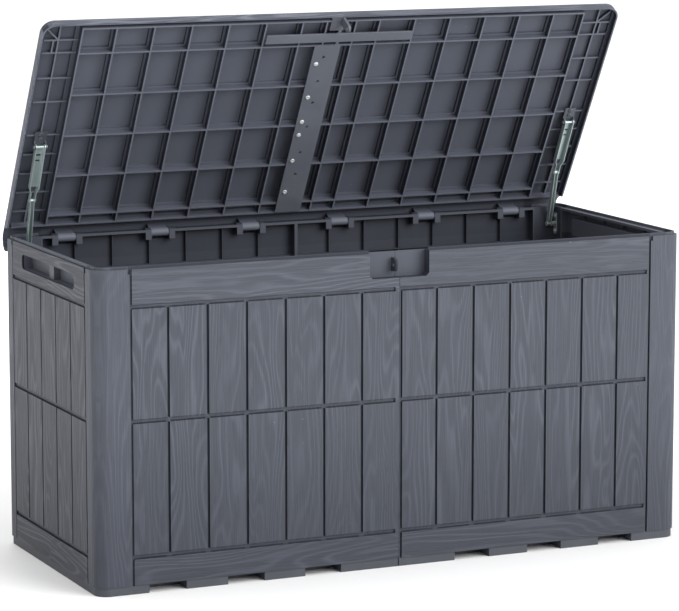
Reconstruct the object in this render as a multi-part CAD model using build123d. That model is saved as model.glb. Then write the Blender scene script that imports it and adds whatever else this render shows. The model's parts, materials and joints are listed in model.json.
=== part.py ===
from build123d import *
import math
import os

# Deck storage box of moulded resin panels, in millimetres.
# The origin is the centre of the footprint on the floor. +X is right as seen from the front, +Y back, +Z up.
# The lid stands open at the end of its stays.

# Body
BODY_WIDTH = 1190.0
BODY_DEPTH = 496.0
RIM_HEIGHT = 590.0
CORNER_RADIUS = 26.0
WALL_DEPTH = 22.0
SKIN = 5.0
FLANGE = 3.0
SEAM_CLEARANCE = 0.15
FIT = 0.3

# Rim: an outer ledge, then a lip that the lid's edge closes round
RIM_FLANGE = 5.0
LEDGE = 5.0
LIP = 3.5
LIP_HEIGHT = 5.0

# Corner posts and the tongues of the panels that slide into them
POST_FRONT = 67.0
POST_SIDE = 49.0
POST_WALL = 3.5
POST_CAP = 4.0
TONGUE_WIDTH = 5.4
TONGUE_LENGTH = 7.5
TONGUE_DROP = 22.0
SLOT_EXTRA = 0.5
SEAM_NOTCH_WIDTH = 4.0
SEAM_NOTCH_HEIGHT = 9.0
SEAM_NOTCH_DEPTH = 4.5

# Planks moulded into the panels
PLANK_PITCH = 76.0
END_PLANK_PITCH = 80.0
LEAST_PLANK = 40.0
GROOVE_WIDTH = 4.5
RAIL_GROOVE_WIDTH = 8.0
GROOVE_DEPTH = 3.5
SEAM_GROOVE = 3.5
SEAM_LAND = 2.0
RAIL_MARGIN = 8.0
TOP_RAIL = 68.0
BOTTOM_RAIL = 52.0
MIDDLE_GROOVE = 315.0
PANEL_RIB = 2.5
PANEL_RIB_DEPTH = 12.0

# Finger recess and padlock eye at the front
RECESS_HALF = 60.0
RECESS_HEIGHT = 47.0
RECESS_DEPTH = 21.0
RECESS_CHAMFER = 6.0
MOULDED_WALL = 3.0
EYE_DROP = 24.0
EYE_INSET = 11.0
EYE_RADIUS = 4.0
EYE_PLATE = 5.0
EYE_PLATE_HEIGHT = 25.0
EYE_PLATE_REACH = 18.5
EYE_PLATE_CORNER = 7.0
EYE_LEFT = -8.0
TAB_LEFT = -1.0
TAB_HALF = 8.0

# Handle pocket in each end panel
HANDLE_LENGTH = 286.0
HANDLE_HEIGHT = 28.0
HANDLE_CORNER = 10.0
HANDLE_DROP = 33.0
HANDLE_DEPTH = 21.0
HANDLE_RIB = 24.0
HANDLE_RIB_DEPTH = 12.5

# Base
BASE_HEIGHT = 16.0
BASE_INSET = 2.5
BASE_PLATE = 4.0
BASE_WALL = 5.0
PAN_RISE = 6.0
FOOT_PITCH = 153.0
FOOT_NOTCH = 72.0
FOOT_RECESS = 40.0
FOOT_EAVES = 15.0
BASE_SEAM = 1.0
BASE_SEAM_DEPTH = 2.5
BASE_RIB = 4.0
BASE_RIB_PITCH = 120.0
LOCATOR_REACH = 16.0
LOCATOR_HALF = 15.0
LOCATOR_HEIGHT = 8.0

# Strips that join the halves of the body
CLIP_WALL = 2.0
CLIP_DEPTH = 11.0
CLIP_END_GAP = 30.0
BASE_CLIP_LENGTH = 40.0
BASE_CLIP_HEIGHT = 8.0
BASE_CLIP_LIFT = 2.0

# Hinge along the back
HINGE_INSET = 13.0
HINGE_DROP = 6.0
HINGE_MARGIN = 53.0
HINGES_PER_HALF = 3
HINGE_PIN_RADIUS = 3.0
PIN_FIT = 0.05
SNUG_FIT = 0.02
KNUCKLE_WIDTH = 36.0
KNUCKLE_RADIUS = 8.0
KNUCKLE_WEB = 7.0
CHEEK_WIDTH = 12.0
CHEEK_RADIUS = 9.0
HINGE_NOTCH = 19.0

# Lid
LID_OPEN_ANGLE = 60.0
LID_GAP = 1.5
LID_SKIRT = 20.0
LID_SKIN = 3.0
LID_WALL = 3.0
LID_SIDE_INSET = 0.5
LID_EDGE_RADIUS = 6.0
TAIL_ANGLE = 5.0
LIP_ROOM = 1.0
LIP_CHANNEL_HEIGHT = 12.5
LID_GROOVE_DEPTH = 2.5

# Ribs below the lid
LID_RIB = 3.2
LID_RIDGE = 11.0
LID_RIDGE_HEIGHT = 5.0
CENTRE_RIB_X = 30.0
FIRST_COLUMN = 79.5
COLUMN_PITCH = 74.3
ROW_PITCH = 92.5
FRONT_RAIL = 65.5
BAND_WIDTH = 77.5
BAND_RIDGE = 10.0
BAND_RISE = 10.5
BAND_RIB_INSET = 37.5
BAND_SHORT_RIB_INSET = 28.0
BAND_RIBS = (40.5, 68.5, 124.5, 177.5, 252.5, 296.5, 340.5, 384.5, 428.5)

# Pieces screwed to the underside of the lid
STRIP_LEFT = -46.0
STRIP_WIDTH = 54.0
STRIP_THICKNESS = 2.0
STRIP_SCREWS = (106.0, 183.0, 240.0, 271.0, 332.0, 407.0)
STRIP_SCREW_X = -35.0
STRIP_MARKS = (91.0, 146.0, 196.0, 252.0, 313.0, 365.0)
STRIP_MARK_X = -22.0
STRIP_MARK = 4.0
SCREW_SIDES = 8
SCREW_RADIUS = 2.0
SCREW_HEAD_RADIUS = 4.0
SCREW_HEAD = 2.0
SCREW_LENGTH = 12.0
BOSS_RADIUS = 4.5
CROSSBAR_HALF = 150.0
CROSSBAR_WIDTH = 19.0
CROSSBAR_THICKNESS = 4.0
CROSSBAR_SETBACK = 37.0
LATCH_PLATE_LEFT = -22.0
LATCH_PLATE_RIGHT = 6.0
LATCH_PLATE_DEPTH = 29.0
LATCH_PLATE_THICKNESS = 3.0

# Folding stays
STAY_INSET = 37.5
LID_PIVOT_REACH = 209.0
LID_PIVOT_RISE = 2.5
BOX_PIVOT_INSET = 29.0
BOX_PIVOT_DROP = 34.0
UPPER_LENGTH = 118.0
KNEE_SAG = 12.0
STAY_PIN_RADIUS = 2.5
CHANNEL_WIDTH = 19.0
CHANNEL_DEPTH = 11.0
CHANNEL_SHEET = 1.4
CHANNEL_STOP = 28.0
NECK_START = 18.0
NECK_DEPTH = 9.0
NECK_WIDTH = 11.0
NECK_SHEET = 1.2
WEB_SLOT = 4.0
WEB_SLOT_WIDTH = 9.0
WEB_SLOTS = (20.0, 32.0)
LOWER_WIDTH = 8.0
LOWER_DEPTH = 10.0
LOWER_SHEET = 1.1
RIVET_RADIUS = 2.0
RIVET_HEAD_RADIUS = 3.5
RIVET_HEAD = 1.2
BRACKET_SHEET = 2.0
LID_BRACKET_REACH = 30.0
LID_BRACKET_SCREWS = (13.0, 24.0)
LID_BRACKET_SCREW = 8.0
LID_EAR_HALF = 9.0
BOX_BRACKET_WIDTH = 13.0
BOX_BRACKET_HEIGHT = 44.0
BOX_SLEEVE_RADIUS = 5.0
BOX_SCREW_SPAN = 30.0

# Places worked out from the sizes above
HALF_WIDTH = BODY_WIDTH / 2
HALF_DEPTH = BODY_DEPTH / 2
FRONT_Y = -HALF_DEPTH
POST_SEAM_X = HALF_WIDTH - POST_FRONT
POST_SEAM_Y = HALF_DEPTH - POST_SIDE
INNER_X = HALF_WIDTH - WALL_DEPTH
INNER_Y = HALF_DEPTH - WALL_DEPTH
PANEL_BOTTOM = BASE_HEIGHT
RAIL_LINES = (BASE_HEIGHT + BOTTOM_RAIL, MIDDLE_GROOVE, RIM_HEIGHT - TOP_RAIL)
HINGE_Y = HALF_DEPTH - HINGE_INSET
HINGE_Z = RIM_HEIGHT - HINGE_DROP
LID_BOTTOM = RIM_HEIGHT + LID_GAP
LID_TOP = LID_BOTTOM + LID_SKIRT
LID_UNDER = LID_TOP - LID_SKIN
LID_HALF = HALF_WIDTH - LID_SIDE_INSET
LID_REACH = HINGE_Y - FRONT_Y
HINGE_STEP = (POST_SEAM_X - HINGE_MARGIN) / (2 * HINGES_PER_HALF - 1)
HINGE_STATIONS = [HINGE_STEP * (2 * i + 1) for i in range(HINGES_PER_HALF)]
TAIL_RADIUS = LID_TOP - HINGE_Z
TAIL_INNER = TAIL_RADIUS - LID_SKIN
CAVITY_REACH = math.sqrt(TAIL_INNER**2 - (LID_BOTTOM - HINGE_Z) ** 2)
LIP_CHANNEL = LEDGE + LIP + LIP_ROOM
BORDER_COLUMN = LID_HALF - BAND_WIDTH
BAND_BOTTOM = LID_BOTTOM + BAND_RISE
EYE_Y = FRONT_Y + EYE_INSET
EYE_Z = RIM_HEIGHT - EYE_DROP
STAY_X = LID_HALF - STAY_INSET


def rect(x0, x1, y0, y1):
    """Rectangle between two x values and two y values."""
    return Pos((x0 + x1) / 2, (y0 + y1) / 2) * Rectangle(abs(x1 - x0), abs(y1 - y0))


def slab(sketch, low, high):
    """Sketch on the ground plane, raised from one height to another."""
    return Pos(0, 0, low) * extrude(sketch, high - low)


def sheet_x(sketch, left, right):
    """Sketch of y and z, carried along X from one place to another."""
    return Pos(left, 0, 0) * extrude(Plane.YZ * sketch, right - left)


def rod(left, right, y, z, radius):
    """Round bar along X."""
    return Pos((left + right) / 2, y, z) * Rot(0, 90, 0) * Cylinder(radius, right - left)


def mirrored(part):
    """The same piece at the other end of the box."""
    return mirror(part, about=Plane.YZ)


# Wall panels, each drawn in its own plane: x to the right, y up, outer face at z = 0, inside at -WALL_DEPTH


def front_plane():
    return Plane(origin=(0, FRONT_Y, 0), x_dir=(1, 0, 0), z_dir=(0, -1, 0))


def back_plane():
    return Plane(origin=(0, HALF_DEPTH, 0), x_dir=(-1, 0, 0), z_dir=(0, 1, 0))


def right_end_plane():
    return Plane(origin=(HALF_WIDTH, 0, 0), x_dir=(0, 1, 0), z_dir=(1, 0, 0))


def plank_lines(pitch, first, limit):
    """Distances of the grooves between planks, from the first up to a limit."""
    count = int((limit - first) / pitch) + 1
    return [first + pitch * i for i in range(count)]


def plank_panel(left, right, lines, rail_margin, seams):
    """Ribbed panel with grooves between planks and at its seams, and the rim's flange along its top."""
    outline = rect(left, right, PANEL_BOTTOM, RIM_HEIGHT)
    window = rect(left + FLANGE, right - FLANGE, PANEL_BOTTOM + FLANGE, RIM_HEIGHT - RIM_FLANGE)
    uprights = [rect(x - PANEL_RIB / 2, x + PANEL_RIB / 2, PANEL_BOTTOM, RIM_HEIGHT) for x in lines]
    bars = [rect(left, right, z - PANEL_RIB / 2, z + PANEL_RIB / 2) for z in RAIL_LINES]
    half_rail = RAIL_GROOVE_WIDTH / 2
    grooves = [rect(x - GROOVE_WIDTH / 2, x + GROOVE_WIDTH / 2, RAIL_LINES[0], RAIL_LINES[-1]) for x in lines]
    grooves += [rect(left, right - rail_margin, z - half_rail, z + half_rail) for z in RAIL_LINES]
    panel = slab(outline, -SKIN, 0) + slab(outline - window, -WALL_DEPTH, 0)
    panel += slab(Sketch() + uprights + bars, -PANEL_RIB_DEPTH, 0)
    return panel - slab(Sketch() + grooves + seams, -GROOVE_DEPTH, 1)


def post_groove(edge, inward):
    """Groove along a panel's edge, beside a post."""
    return rect(edge, edge + inward * SEAM_GROOVE, PANEL_BOTTOM, RIM_HEIGHT)


def rim_lip(left, right):
    """Upstanding lip along the top of a panel."""
    return slab(rect(left, right, RIM_HEIGHT, RIM_HEIGHT + LIP_HEIGHT), -LEDGE - LIP, -LEDGE)


def tongue(edge, direction):
    """Tongue on a panel's edge that slides into the post's slot."""
    low = PANEL_BOTTOM + FLANGE
    outline = rect(edge, edge + direction * TONGUE_LENGTH, low, RIM_HEIGHT - TONGUE_DROP)
    return slab(outline, -(WALL_DEPTH + TONGUE_WIDTH) / 2, -(WALL_DEPTH - TONGUE_WIDTH) / 2)


def half_panel(side):
    """Panel of half the width: side is -1 with its post on the left, 1 with its post on the right."""
    seam = side * SEAM_CLEARANCE
    post = side * (POST_SEAM_X - SEAM_CLEARANCE)
    lines = [side * x for x in plank_lines(PLANK_PITCH, PLANK_PITCH, POST_SEAM_X - LEAST_PLANK)]
    seams = [post_groove(post, -side)]
    if side > 0:
        start = seam + SEAM_LAND
        seams.append(rect(start, start + SEAM_GROOVE, PANEL_BOTTOM, RAIL_LINES[-1]))
    return plank_panel(min(seam, post), max(seam, post), lines, RAIL_MARGIN, seams) + tongue(post, side)


def front_panel(side):
    """Front half panel with its half of the finger recess."""
    seam = side * SEAM_CLEARANCE
    outer = side * RECESS_HALF
    floor = RIM_HEIGHT - RECESS_HEIGHT
    top = RIM_HEIGHT + LIP_HEIGHT
    panel = half_panel(side) + rim_lip(*sorted((seam, side * (POST_SEAM_X - SEAM_CLEARANCE))))
    shell = rect(seam, outer + side * MOULDED_WALL, floor - MOULDED_WALL, RIM_HEIGHT)
    panel += slab(shell, -RECESS_DEPTH - MOULDED_WALL, 0)
    hollow = Polyline(
        (-side, top + 1),
        (outer, top + 1),
        (outer, floor + RECESS_CHAMFER),
        (outer - side * RECESS_CHAMFER, floor),
        (-side, floor),
        close=True,
    )
    panel -= slab(make_face(hollow), -RECESS_DEPTH, 1)
    return front_plane().location * panel


def padlock_eye():
    """Plate with a hole, standing out of the recess's back wall."""
    root = FRONT_Y + RECESS_DEPTH
    tip = root - EYE_PLATE_REACH
    low, high = EYE_Z - EYE_PLATE_HEIGHT / 2, EYE_Z + EYE_PLATE_HEIGHT / 2
    outline = rect(tip, root, low, high)
    outline = fillet(outline.vertices().group_by(Axis.X)[0], EYE_PLATE_CORNER)
    outline -= Pos(EYE_Y, EYE_Z) * Circle(EYE_RADIUS)
    return sheet_x(outline, EYE_LEFT, EYE_LEFT + EYE_PLATE)


def back_panel(side):
    """Back half panel with notches for the lid's knuckles and cheeks that hold the hinge pins."""
    panel = back_plane().location * half_panel(-side)
    half_notch = KNUCKLE_WIDTH / 2 + FIT
    for station in HINGE_STATIONS:
        x = side * station
        notch = rect(INNER_Y - 1, HALF_DEPTH + 1, RIM_HEIGHT - HINGE_NOTCH, RIM_HEIGHT + CHEEK_RADIUS)
        barrel = Pos(HINGE_Y, HINGE_Z) * Circle(CHEEK_RADIUS)
        cheek = barrel + rect(INNER_Y, HALF_DEPTH - SKIN, RIM_HEIGHT - HINGE_NOTCH, RIM_HEIGHT - FLANGE)
        end = half_notch + CHEEK_WIDTH
        panel += sheet_x(cheek, x - end, x + end)
        panel -= sheet_x(notch, x - half_notch, x + half_notch)
        panel -= rod(x - end, x + end, HINGE_Y, HINGE_Z, HINGE_PIN_RADIUS + SNUG_FIT)
    return panel


def hinge_pins(side):
    """Short pins through the cheeks and the lid's knuckles."""
    half = KNUCKLE_WIDTH / 2 + FIT + CHEEK_WIDTH
    pins = [rod(side * x - half, side * x + half, HINGE_Y, HINGE_Z, HINGE_PIN_RADIUS) for x in HINGE_STATIONS]
    return Compound(children=pins)


def end_panel():
    """Right end panel with its handle pocket."""
    edge = POST_SEAM_Y - SEAM_CLEARANCE
    half_lines = plank_lines(END_PLANK_PITCH, END_PLANK_PITCH / 2, POST_SEAM_Y - LEAST_PLANK)
    lines = [-y for y in reversed(half_lines)] + half_lines
    seams = [post_groove(edge, -1), post_groove(-edge, 1)]
    panel = plank_panel(-edge, edge, lines, 0, seams) + rim_lip(-edge, edge)
    panel += tongue(edge, 1) + tongue(-edge, -1)
    middle = RIM_HEIGHT - HANDLE_DROP
    half_length, half_height = HANDLE_LENGTH / 2, HANDLE_HEIGHT / 2
    wall_x, wall_y = half_length + MOULDED_WALL, half_height + MOULDED_WALL
    mouth = Pos(0, middle) * RectangleRounded(HANDLE_LENGTH, HANDLE_HEIGHT, HANDLE_CORNER)
    shell = rect(-wall_x, wall_x, middle - wall_y, middle + wall_y)
    rib = rect(-HANDLE_RIB / 2, HANDLE_RIB / 2, middle - half_height, middle + half_height)
    panel += slab(shell, -HANDLE_DEPTH - MOULDED_WALL, 0)
    panel -= slab(mouth, -HANDLE_DEPTH, 1)
    panel += slab(rib, -HANDLE_DEPTH, -HANDLE_DEPTH + HANDLE_RIB_DEPTH)
    return right_end_plane().location * panel


def centre_strip():
    """Channel that holds the two half panels together inside the front seam."""
    inner = SEAM_CLEARANCE + FLANGE + FIT
    outer = inner + CLIP_WALL
    back = FRONT_Y + WALL_DEPTH + CLIP_WALL
    mouth = back - CLIP_DEPTH
    section = rect(-outer, outer, mouth, back) - rect(-inner, inner, mouth - 1, back - CLIP_WALL)
    low = RAIL_LINES[0] + CLIP_END_GAP
    return slab(section, low, RAIL_LINES[-1] - CLIP_END_GAP)


# Corner posts, drawn at the right rear corner


def body_plan(inset):
    """Outline of the body, drawn in by an inset."""
    return RectangleRounded(BODY_WIDTH - 2 * inset, BODY_DEPTH - 2 * inset, CORNER_RADIUS - inset)


def corner_post():
    """Hollow post of L section with a slot for each panel's tongue."""
    corner = rect(POST_SEAM_X, HALF_WIDTH, POST_SEAM_Y, HALF_DEPTH)
    section = (body_plan(0) & corner) - rect(0, INNER_X, 0, INNER_Y)
    slot_depth = TONGUE_LENGTH + SLOT_EXTRA
    slot_half = TONGUE_WIDTH / 2 + FIT
    middle_x, middle_y = HALF_WIDTH - WALL_DEPTH / 2, HALF_DEPTH - WALL_DEPTH / 2
    section -= rect(POST_SEAM_X - 1, POST_SEAM_X + slot_depth, middle_y - slot_half, middle_y + slot_half)
    section -= rect(middle_x - slot_half, middle_x + slot_half, POST_SEAM_Y - 1, POST_SEAM_Y + slot_depth)
    core_x, core_y = POST_SEAM_X + slot_depth + POST_WALL, POST_SEAM_Y + slot_depth + POST_WALL
    core = body_plan(POST_WALL) & rect(core_x, HALF_WIDTH, core_y, HALF_DEPTH)
    core -= rect(0, INNER_X + POST_WALL, 0, INNER_Y + POST_WALL)
    post = slab(section, BASE_HEIGHT, RIM_HEIGHT) - slab(core, BASE_HEIGHT - 1, RIM_HEIGHT - POST_CAP)
    notch_x, notch_y = HALF_WIDTH - SEAM_NOTCH_DEPTH, HALF_DEPTH - SEAM_NOTCH_DEPTH
    front_notch = rect(POST_SEAM_X - 1, POST_SEAM_X + SEAM_NOTCH_WIDTH, notch_y, HALF_DEPTH)
    side_notch = rect(notch_x, HALF_WIDTH, POST_SEAM_Y - 1, POST_SEAM_Y + SEAM_NOTCH_WIDTH)
    return post - slab(front_notch + side_notch, RIM_HEIGHT - SEAM_NOTCH_HEIGHT, RIM_HEIGHT + 1)


def corner_lip():
    """The rim's lip, turning the corner on top of a post."""
    corner = rect(POST_SEAM_X, HALF_WIDTH, POST_SEAM_Y, HALF_DEPTH)
    ring = (body_plan(LEDGE) - body_plan(LEDGE + LIP)) & corner
    return slab(ring, RIM_HEIGHT, RIM_HEIGHT + LIP_HEIGHT)


# Base


def base_plan(inset):
    """Right half of the base's outline, drawn in by an inset on every side."""
    edge = BASE_INSET + inset
    return body_plan(edge) & rect(SEAM_CLEARANCE + inset, HALF_WIDTH, -HALF_DEPTH, HALF_DEPTH)


def foot_recesses(wall, depth):
    """Outlines between the feet at front and back, widened by a wall and going to a depth behind the face."""
    feet = plank_lines(FOOT_PITCH, FOOT_PITCH, HALF_WIDTH - FOOT_NOTCH)
    half = FOOT_NOTCH / 2 + wall
    inner = HALF_DEPTH - BASE_INSET - depth
    places = [(x, side) for x in feet for side in (-1, 1)]
    return Sketch() + [rect(x - half, x + half, side * inner, side * HALF_DEPTH) for x, side in places]


def base_half():
    """Right half of the base: a raised pan on a skirt, with ribs and walled recesses between the feet."""
    pan_x, pan_y = INNER_X - FIT, INNER_Y - FIT
    pan = rect(SEAM_CLEARANCE, pan_x, -pan_y, pan_y)
    hollow = rect(SEAM_CLEARANCE + BASE_WALL, pan_x - BASE_WALL, -pan_y + BASE_WALL, pan_y - BASE_WALL)
    walls = foot_recesses(BASE_WALL, FOOT_RECESS + BASE_WALL) & base_plan(0)
    hollow -= walls
    under_plate = BASE_HEIGHT - BASE_PLATE
    under_pan = BASE_HEIGHT + PAN_RISE - BASE_PLATE
    base = slab(base_plan(0), under_plate, BASE_HEIGHT)
    base += slab(base_plan(0) - base_plan(BASE_WALL) + walls, 0, BASE_HEIGHT)
    base += slab(pan, under_plate, BASE_HEIGHT + PAN_RISE)
    base -= slab(hollow, under_plate, under_pan)
    half_rib = BASE_RIB / 2
    columns = plank_lines(BASE_RIB_PITCH, BASE_RIB_PITCH, pan_x - LEAST_PLANK)
    ribs = [rect(x - half_rib, x + half_rib, -HALF_DEPTH, HALF_DEPTH) for x in columns]
    ribs += [rect(0, HALF_WIDTH, y - half_rib, y + half_rib) for y in (-BASE_RIB_PITCH, 0, BASE_RIB_PITCH)]
    base += slab((Sketch() + ribs) & base_plan(half_rib), 0, BASE_HEIGHT)
    base += slab((Sketch() + ribs) & hollow, under_plate, under_pan)
    base -= slab(foot_recesses(0, FOOT_RECESS), -1, under_plate)
    base -= slab(foot_recesses(0, FOOT_EAVES), -1, BASE_HEIGHT + 1)
    inner = HALF_DEPTH - BASE_INSET - BASE_SEAM_DEPTH
    seams = [rect(0, BASE_SEAM, side * inner, side * HALF_DEPTH) for side in (-1, 1)]
    return base - slab(Sketch() + seams, -1, BASE_HEIGHT + 1)


def clip_places():
    """Y of the base's clips, midway between its ribs."""
    return [BASE_RIB_PITCH * step for step in (-1.5, -0.5, 0.5, 1.5)]


def base_clips():
    """Channels pushed up over the two walls at the base's seam."""
    inner = SEAM_CLEARANCE + BASE_WALL + FIT
    outer = inner + CLIP_WALL
    low, high = BASE_CLIP_LIFT, BASE_CLIP_LIFT + BASE_CLIP_HEIGHT
    section = rect(-outer, outer, low, high) - rect(-inner, inner, low + CLIP_WALL, high + 1)
    clip = extrude(Plane.XZ * section, BASE_CLIP_LENGTH / 2, both=True)
    return Compound(children=[Pos(0, y, 0) * clip for y in clip_places()])


def base_seat():
    """Room in the base's seam walls for the clips' webs."""
    top = BASE_CLIP_LIFT + CLIP_WALL + FIT
    reach = SEAM_CLEARANCE + BASE_WALL + CLIP_WALL + 2 * FIT
    half = BASE_CLIP_LENGTH / 2 + FIT
    rooms = [rect(-reach, reach, y - half, y + half) for y in clip_places()]
    return slab(Sketch() + rooms, -1, top)


def locator(clearance):
    """Tab at the middle of the base's seam that lines up the two halves, on the left one."""
    half = LOCATOR_HALF + clearance
    outline = rect(-SEAM_CLEARANCE - BASE_WALL, LOCATOR_REACH + clearance, -half, half)
    return slab(outline, 0, LOCATOR_HEIGHT + clearance)


# Lid, drawn closed, with its right half at positive x


def from_hinge(reach):
    """Y of a place on the closed lid, given its distance in front of the hinge."""
    return HINGE_Y - reach


def from_edge(setback):
    """Y of a place on the closed lid, given its distance behind the lid's front edge."""
    return FRONT_Y + setback


def lid_profile():
    """Section of the lid from front to back, rounded about the hinge at its tail, the tail still solid."""
    centre = (HINGE_Y, HINGE_Z)
    tail = math.radians(TAIL_ANGLE)
    tip = (HINGE_Y + TAIL_RADIUS * math.cos(tail), HINGE_Z + TAIL_RADIUS * math.sin(tail))
    return make_face(
        [
            Line((FRONT_Y, LID_BOTTOM), (FRONT_Y, LID_TOP)),
            Line((FRONT_Y, LID_TOP), (HINGE_Y, LID_TOP)),
            CenterArc(centre, TAIL_RADIUS, 90, TAIL_ANGLE - 90),
            Line(tip, centre),
            Line(centre, (HINGE_Y - CAVITY_REACH, LID_BOTTOM)),
            Line((HINGE_Y - CAVITY_REACH, LID_BOTTOM), (FRONT_Y, LID_BOTTOM)),
        ]
    )


def lid_plan(inset):
    """Outline of the lid seen from above, drawn in by an inset at its front and ends."""
    front = FRONT_Y + inset
    rear = HINGE_Y + TAIL_RADIUS + 2 * CORNER_RADIUS
    outline = RectangleRounded(2 * (LID_HALF - inset), rear - front, CORNER_RADIUS - inset)
    return Pos(0, (front + rear) / 2) * outline


def lid_shell():
    """Right half of the lid with rounded upper edges, hollow only round the hinge."""
    block = sheet_x(lid_profile(), SEAM_CLEARANCE, LID_HALF)
    block &= slab(lid_plan(0), HINGE_Z - 1, LID_TOP + 1)
    near = 0.01
    top = [e for e in block.edges() if abs(e.center().Z - LID_TOP) < near]
    front = [e for e in top if abs(e.center().Y - FRONT_Y) < near]
    corner = [e for e in top if e.geom_type == GeomType.CIRCLE]
    end = [e for e in top if abs(e.center().X - LID_HALF) < near]
    round_edges = [e for e in block.edges() if e.geom_type == GeomType.CIRCLE]
    tail = [e for e in round_edges if abs(e.center().X - LID_HALF) < near]
    block = fillet(front + corner + end + tail, LID_EDGE_RADIUS)
    return block - rod(-1, LID_HALF + 1, HINGE_Y, HINGE_Z, TAIL_INNER)


def lid_columns():
    """Distances of the ribs that run from front to back, from the seam outwards."""
    columns = plank_lines(COLUMN_PITCH, FIRST_COLUMN, BORDER_COLUMN - LEAST_PLANK)
    return [SEAM_CLEARANCE + LID_WALL - LID_RIB / 2, CENTRE_RIB_X] + columns + [BORDER_COLUMN]


def lid_rows():
    """Distances of the ribs that run from end to end, in front of the hinge."""
    rear = CAVITY_REACH + LID_RIB / 2
    first = LID_REACH - FRONT_RAIL
    count = int((first - rear) / ROW_PITCH) + 1
    rows = [first - ROW_PITCH * i for i in range(count)]
    spare = [row for row in rows if row - rear > LID_RIDGE + LID_RIB]
    return [LID_REACH - LIP_CHANNEL - LID_RIB / 2] + spare + [rear]


def cells(columns, rows, rib):
    """Rectangles left between ribs of a given width."""
    half = rib / 2
    sides = list(zip(columns, columns[1:]))
    depths = list(zip(rows, rows[1:]))
    return [
        rect(left + half, right - half, from_hinge(front - half), from_hinge(rear + half))
        for left, right in sides
        for front, rear in depths
    ]


def grid_pockets():
    """Pockets of the rib grid: narrow ridges under the skin, then thinner ribs."""
    ridge_under = LID_UNDER - LID_RIDGE_HEIGHT
    columns, rows = lid_columns(), lid_rows()
    low = slab(Sketch() + cells(columns, rows, LID_RIB), LID_BOTTOM - 1, ridge_under)
    high = slab(Sketch() + cells(columns, rows, LID_RIDGE), ridge_under, LID_UNDER)
    return low + high


def lip_channel():
    """Groove that the box's lip enters when the lid is shut."""
    ring = (lid_plan(LID_WALL) - lid_plan(LIP_CHANNEL)) & rect(0, LID_HALF, FRONT_Y, HINGE_Y)
    channel = slab(ring, LID_BOTTOM - 1, LID_BOTTOM + LIP_CHANNEL_HEIGHT)
    columns = lid_columns()
    front, back = from_edge(LID_WALL), from_edge(LIP_CHANNEL)
    bays = [rect(a + LID_RIB / 2, b - LID_RIB / 2, front, back) for a, b in zip(columns, columns[1:])]
    return channel + slab(Sketch() + bays, LID_BOTTOM, LID_UNDER)


def band_rows():
    """Places of the short ribs in the end band, behind the lid's front edge."""
    last = LID_REACH - CAVITY_REACH - LID_RIB / 2
    return [LIP_CHANNEL - LID_RIB / 2] + [row for row in BAND_RIBS if row < last - LEAST_PLANK / 2] + [last]


def band_pockets():
    """Pockets of the sunk end band, with a middle rib, a short rib and a diagonal at the front corner."""
    half = LID_RIB / 2
    rib_x = LID_HALF - BAND_RIB_INSET
    short_x = LID_HALF - BAND_SHORT_RIB_INSET
    edge_x = LID_HALF - LIP_CHANNEL
    rows = band_rows()
    inner, outer, shallow = [], [], []
    for front, back in zip(rows, rows[1:]):
        span = (from_edge(front + half), from_edge(back - half))
        inner.append(rect(BORDER_COLUMN + half, rib_x - half, *span))
        shallow.append(rect(BORDER_COLUMN + BAND_RIDGE, rib_x - half, *span))
        outer.append(rect(rib_x + half, edge_x + half, *span))
    first, second = outer[0], outer[1]
    corner = (rib_x, from_edge(rows[1]))
    diagonal = Pos(*corner) * Rot(0, 0, -45) * Rectangle(4 * BAND_SHORT_RIB_INSET, LID_RIB)
    outer[0] = first - diagonal
    outer[1] = second - rect(short_x - half, short_x + half, from_edge(rows[1]), from_edge(rows[2]))
    ridge_under = LID_UNDER - LID_RIDGE_HEIGHT
    band = rect(BORDER_COLUMN + half, edge_x + half, from_edge(rows[0] + half), from_edge(rows[-1] - half))
    pockets = slab(band, LID_BOTTOM - 1, BAND_BOTTOM) + slab(Sketch() + inner, LID_BOTTOM - 1, ridge_under)
    pockets += slab(Sketch() + shallow, ridge_under, LID_UNDER)
    return pockets + slab(Sketch() + outer, LID_BOTTOM - 1, LID_UNDER)


def lid_grooves():
    """Plank grooves on the lid's top, over the ridges below."""
    rows = lid_rows()
    front, rear = rows[1], rows[-2]
    middle = rows[len(rows) // 2]
    half, half_rail = GROOVE_WIDTH / 2, RAIL_GROOVE_WIDTH / 2
    grooves = [rect(x - half, x + half, from_hinge(front), from_hinge(rear)) for x in lid_columns()[2:]]
    grooves += [
        rect(SEAM_CLEARANCE, BORDER_COLUMN, from_hinge(row + half_rail), from_hinge(row - half_rail))
        for row in (front, middle, rear)
    ]
    return slab(Sketch() + grooves, LID_TOP - LID_GROOVE_DEPTH, LID_TOP + 1)


def lid_knuckles():
    """Knuckles round the hinge pins, each on a web below the lid's skin."""
    half = KNUCKLE_WIDTH / 2
    web = rect(HINGE_Y - KNUCKLE_WEB / 2, HINGE_Y + KNUCKLE_WEB / 2, HINGE_Z, LID_UNDER + LID_SKIN / 2)
    section = Pos(HINGE_Y, HINGE_Z) * Circle(KNUCKLE_RADIUS) + web
    section -= Pos(HINGE_Y, HINGE_Z) * Circle(HINGE_PIN_RADIUS + PIN_FIT)
    return [sheet_x(section, x - half, x + half) for x in HINGE_STATIONS]


def lid_half():
    """Right half of the lid."""
    lid = lid_shell() - grid_pockets() - lip_channel() - band_pockets() - lid_grooves()
    for knuckle in lid_knuckles():
        lid += knuckle
    return lid


def latch_seat():
    """Room in the lid's ribs for the latch plate."""
    front = from_edge(LID_WALL)
    back = front + LATCH_PLATE_DEPTH + FIT
    outline = rect(LATCH_PLATE_LEFT - FIT, LATCH_PLATE_RIGHT + FIT, front, back)
    return slab(outline, LID_BOTTOM - 1, LID_BOTTOM + LATCH_PLATE_THICKNESS)


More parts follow.
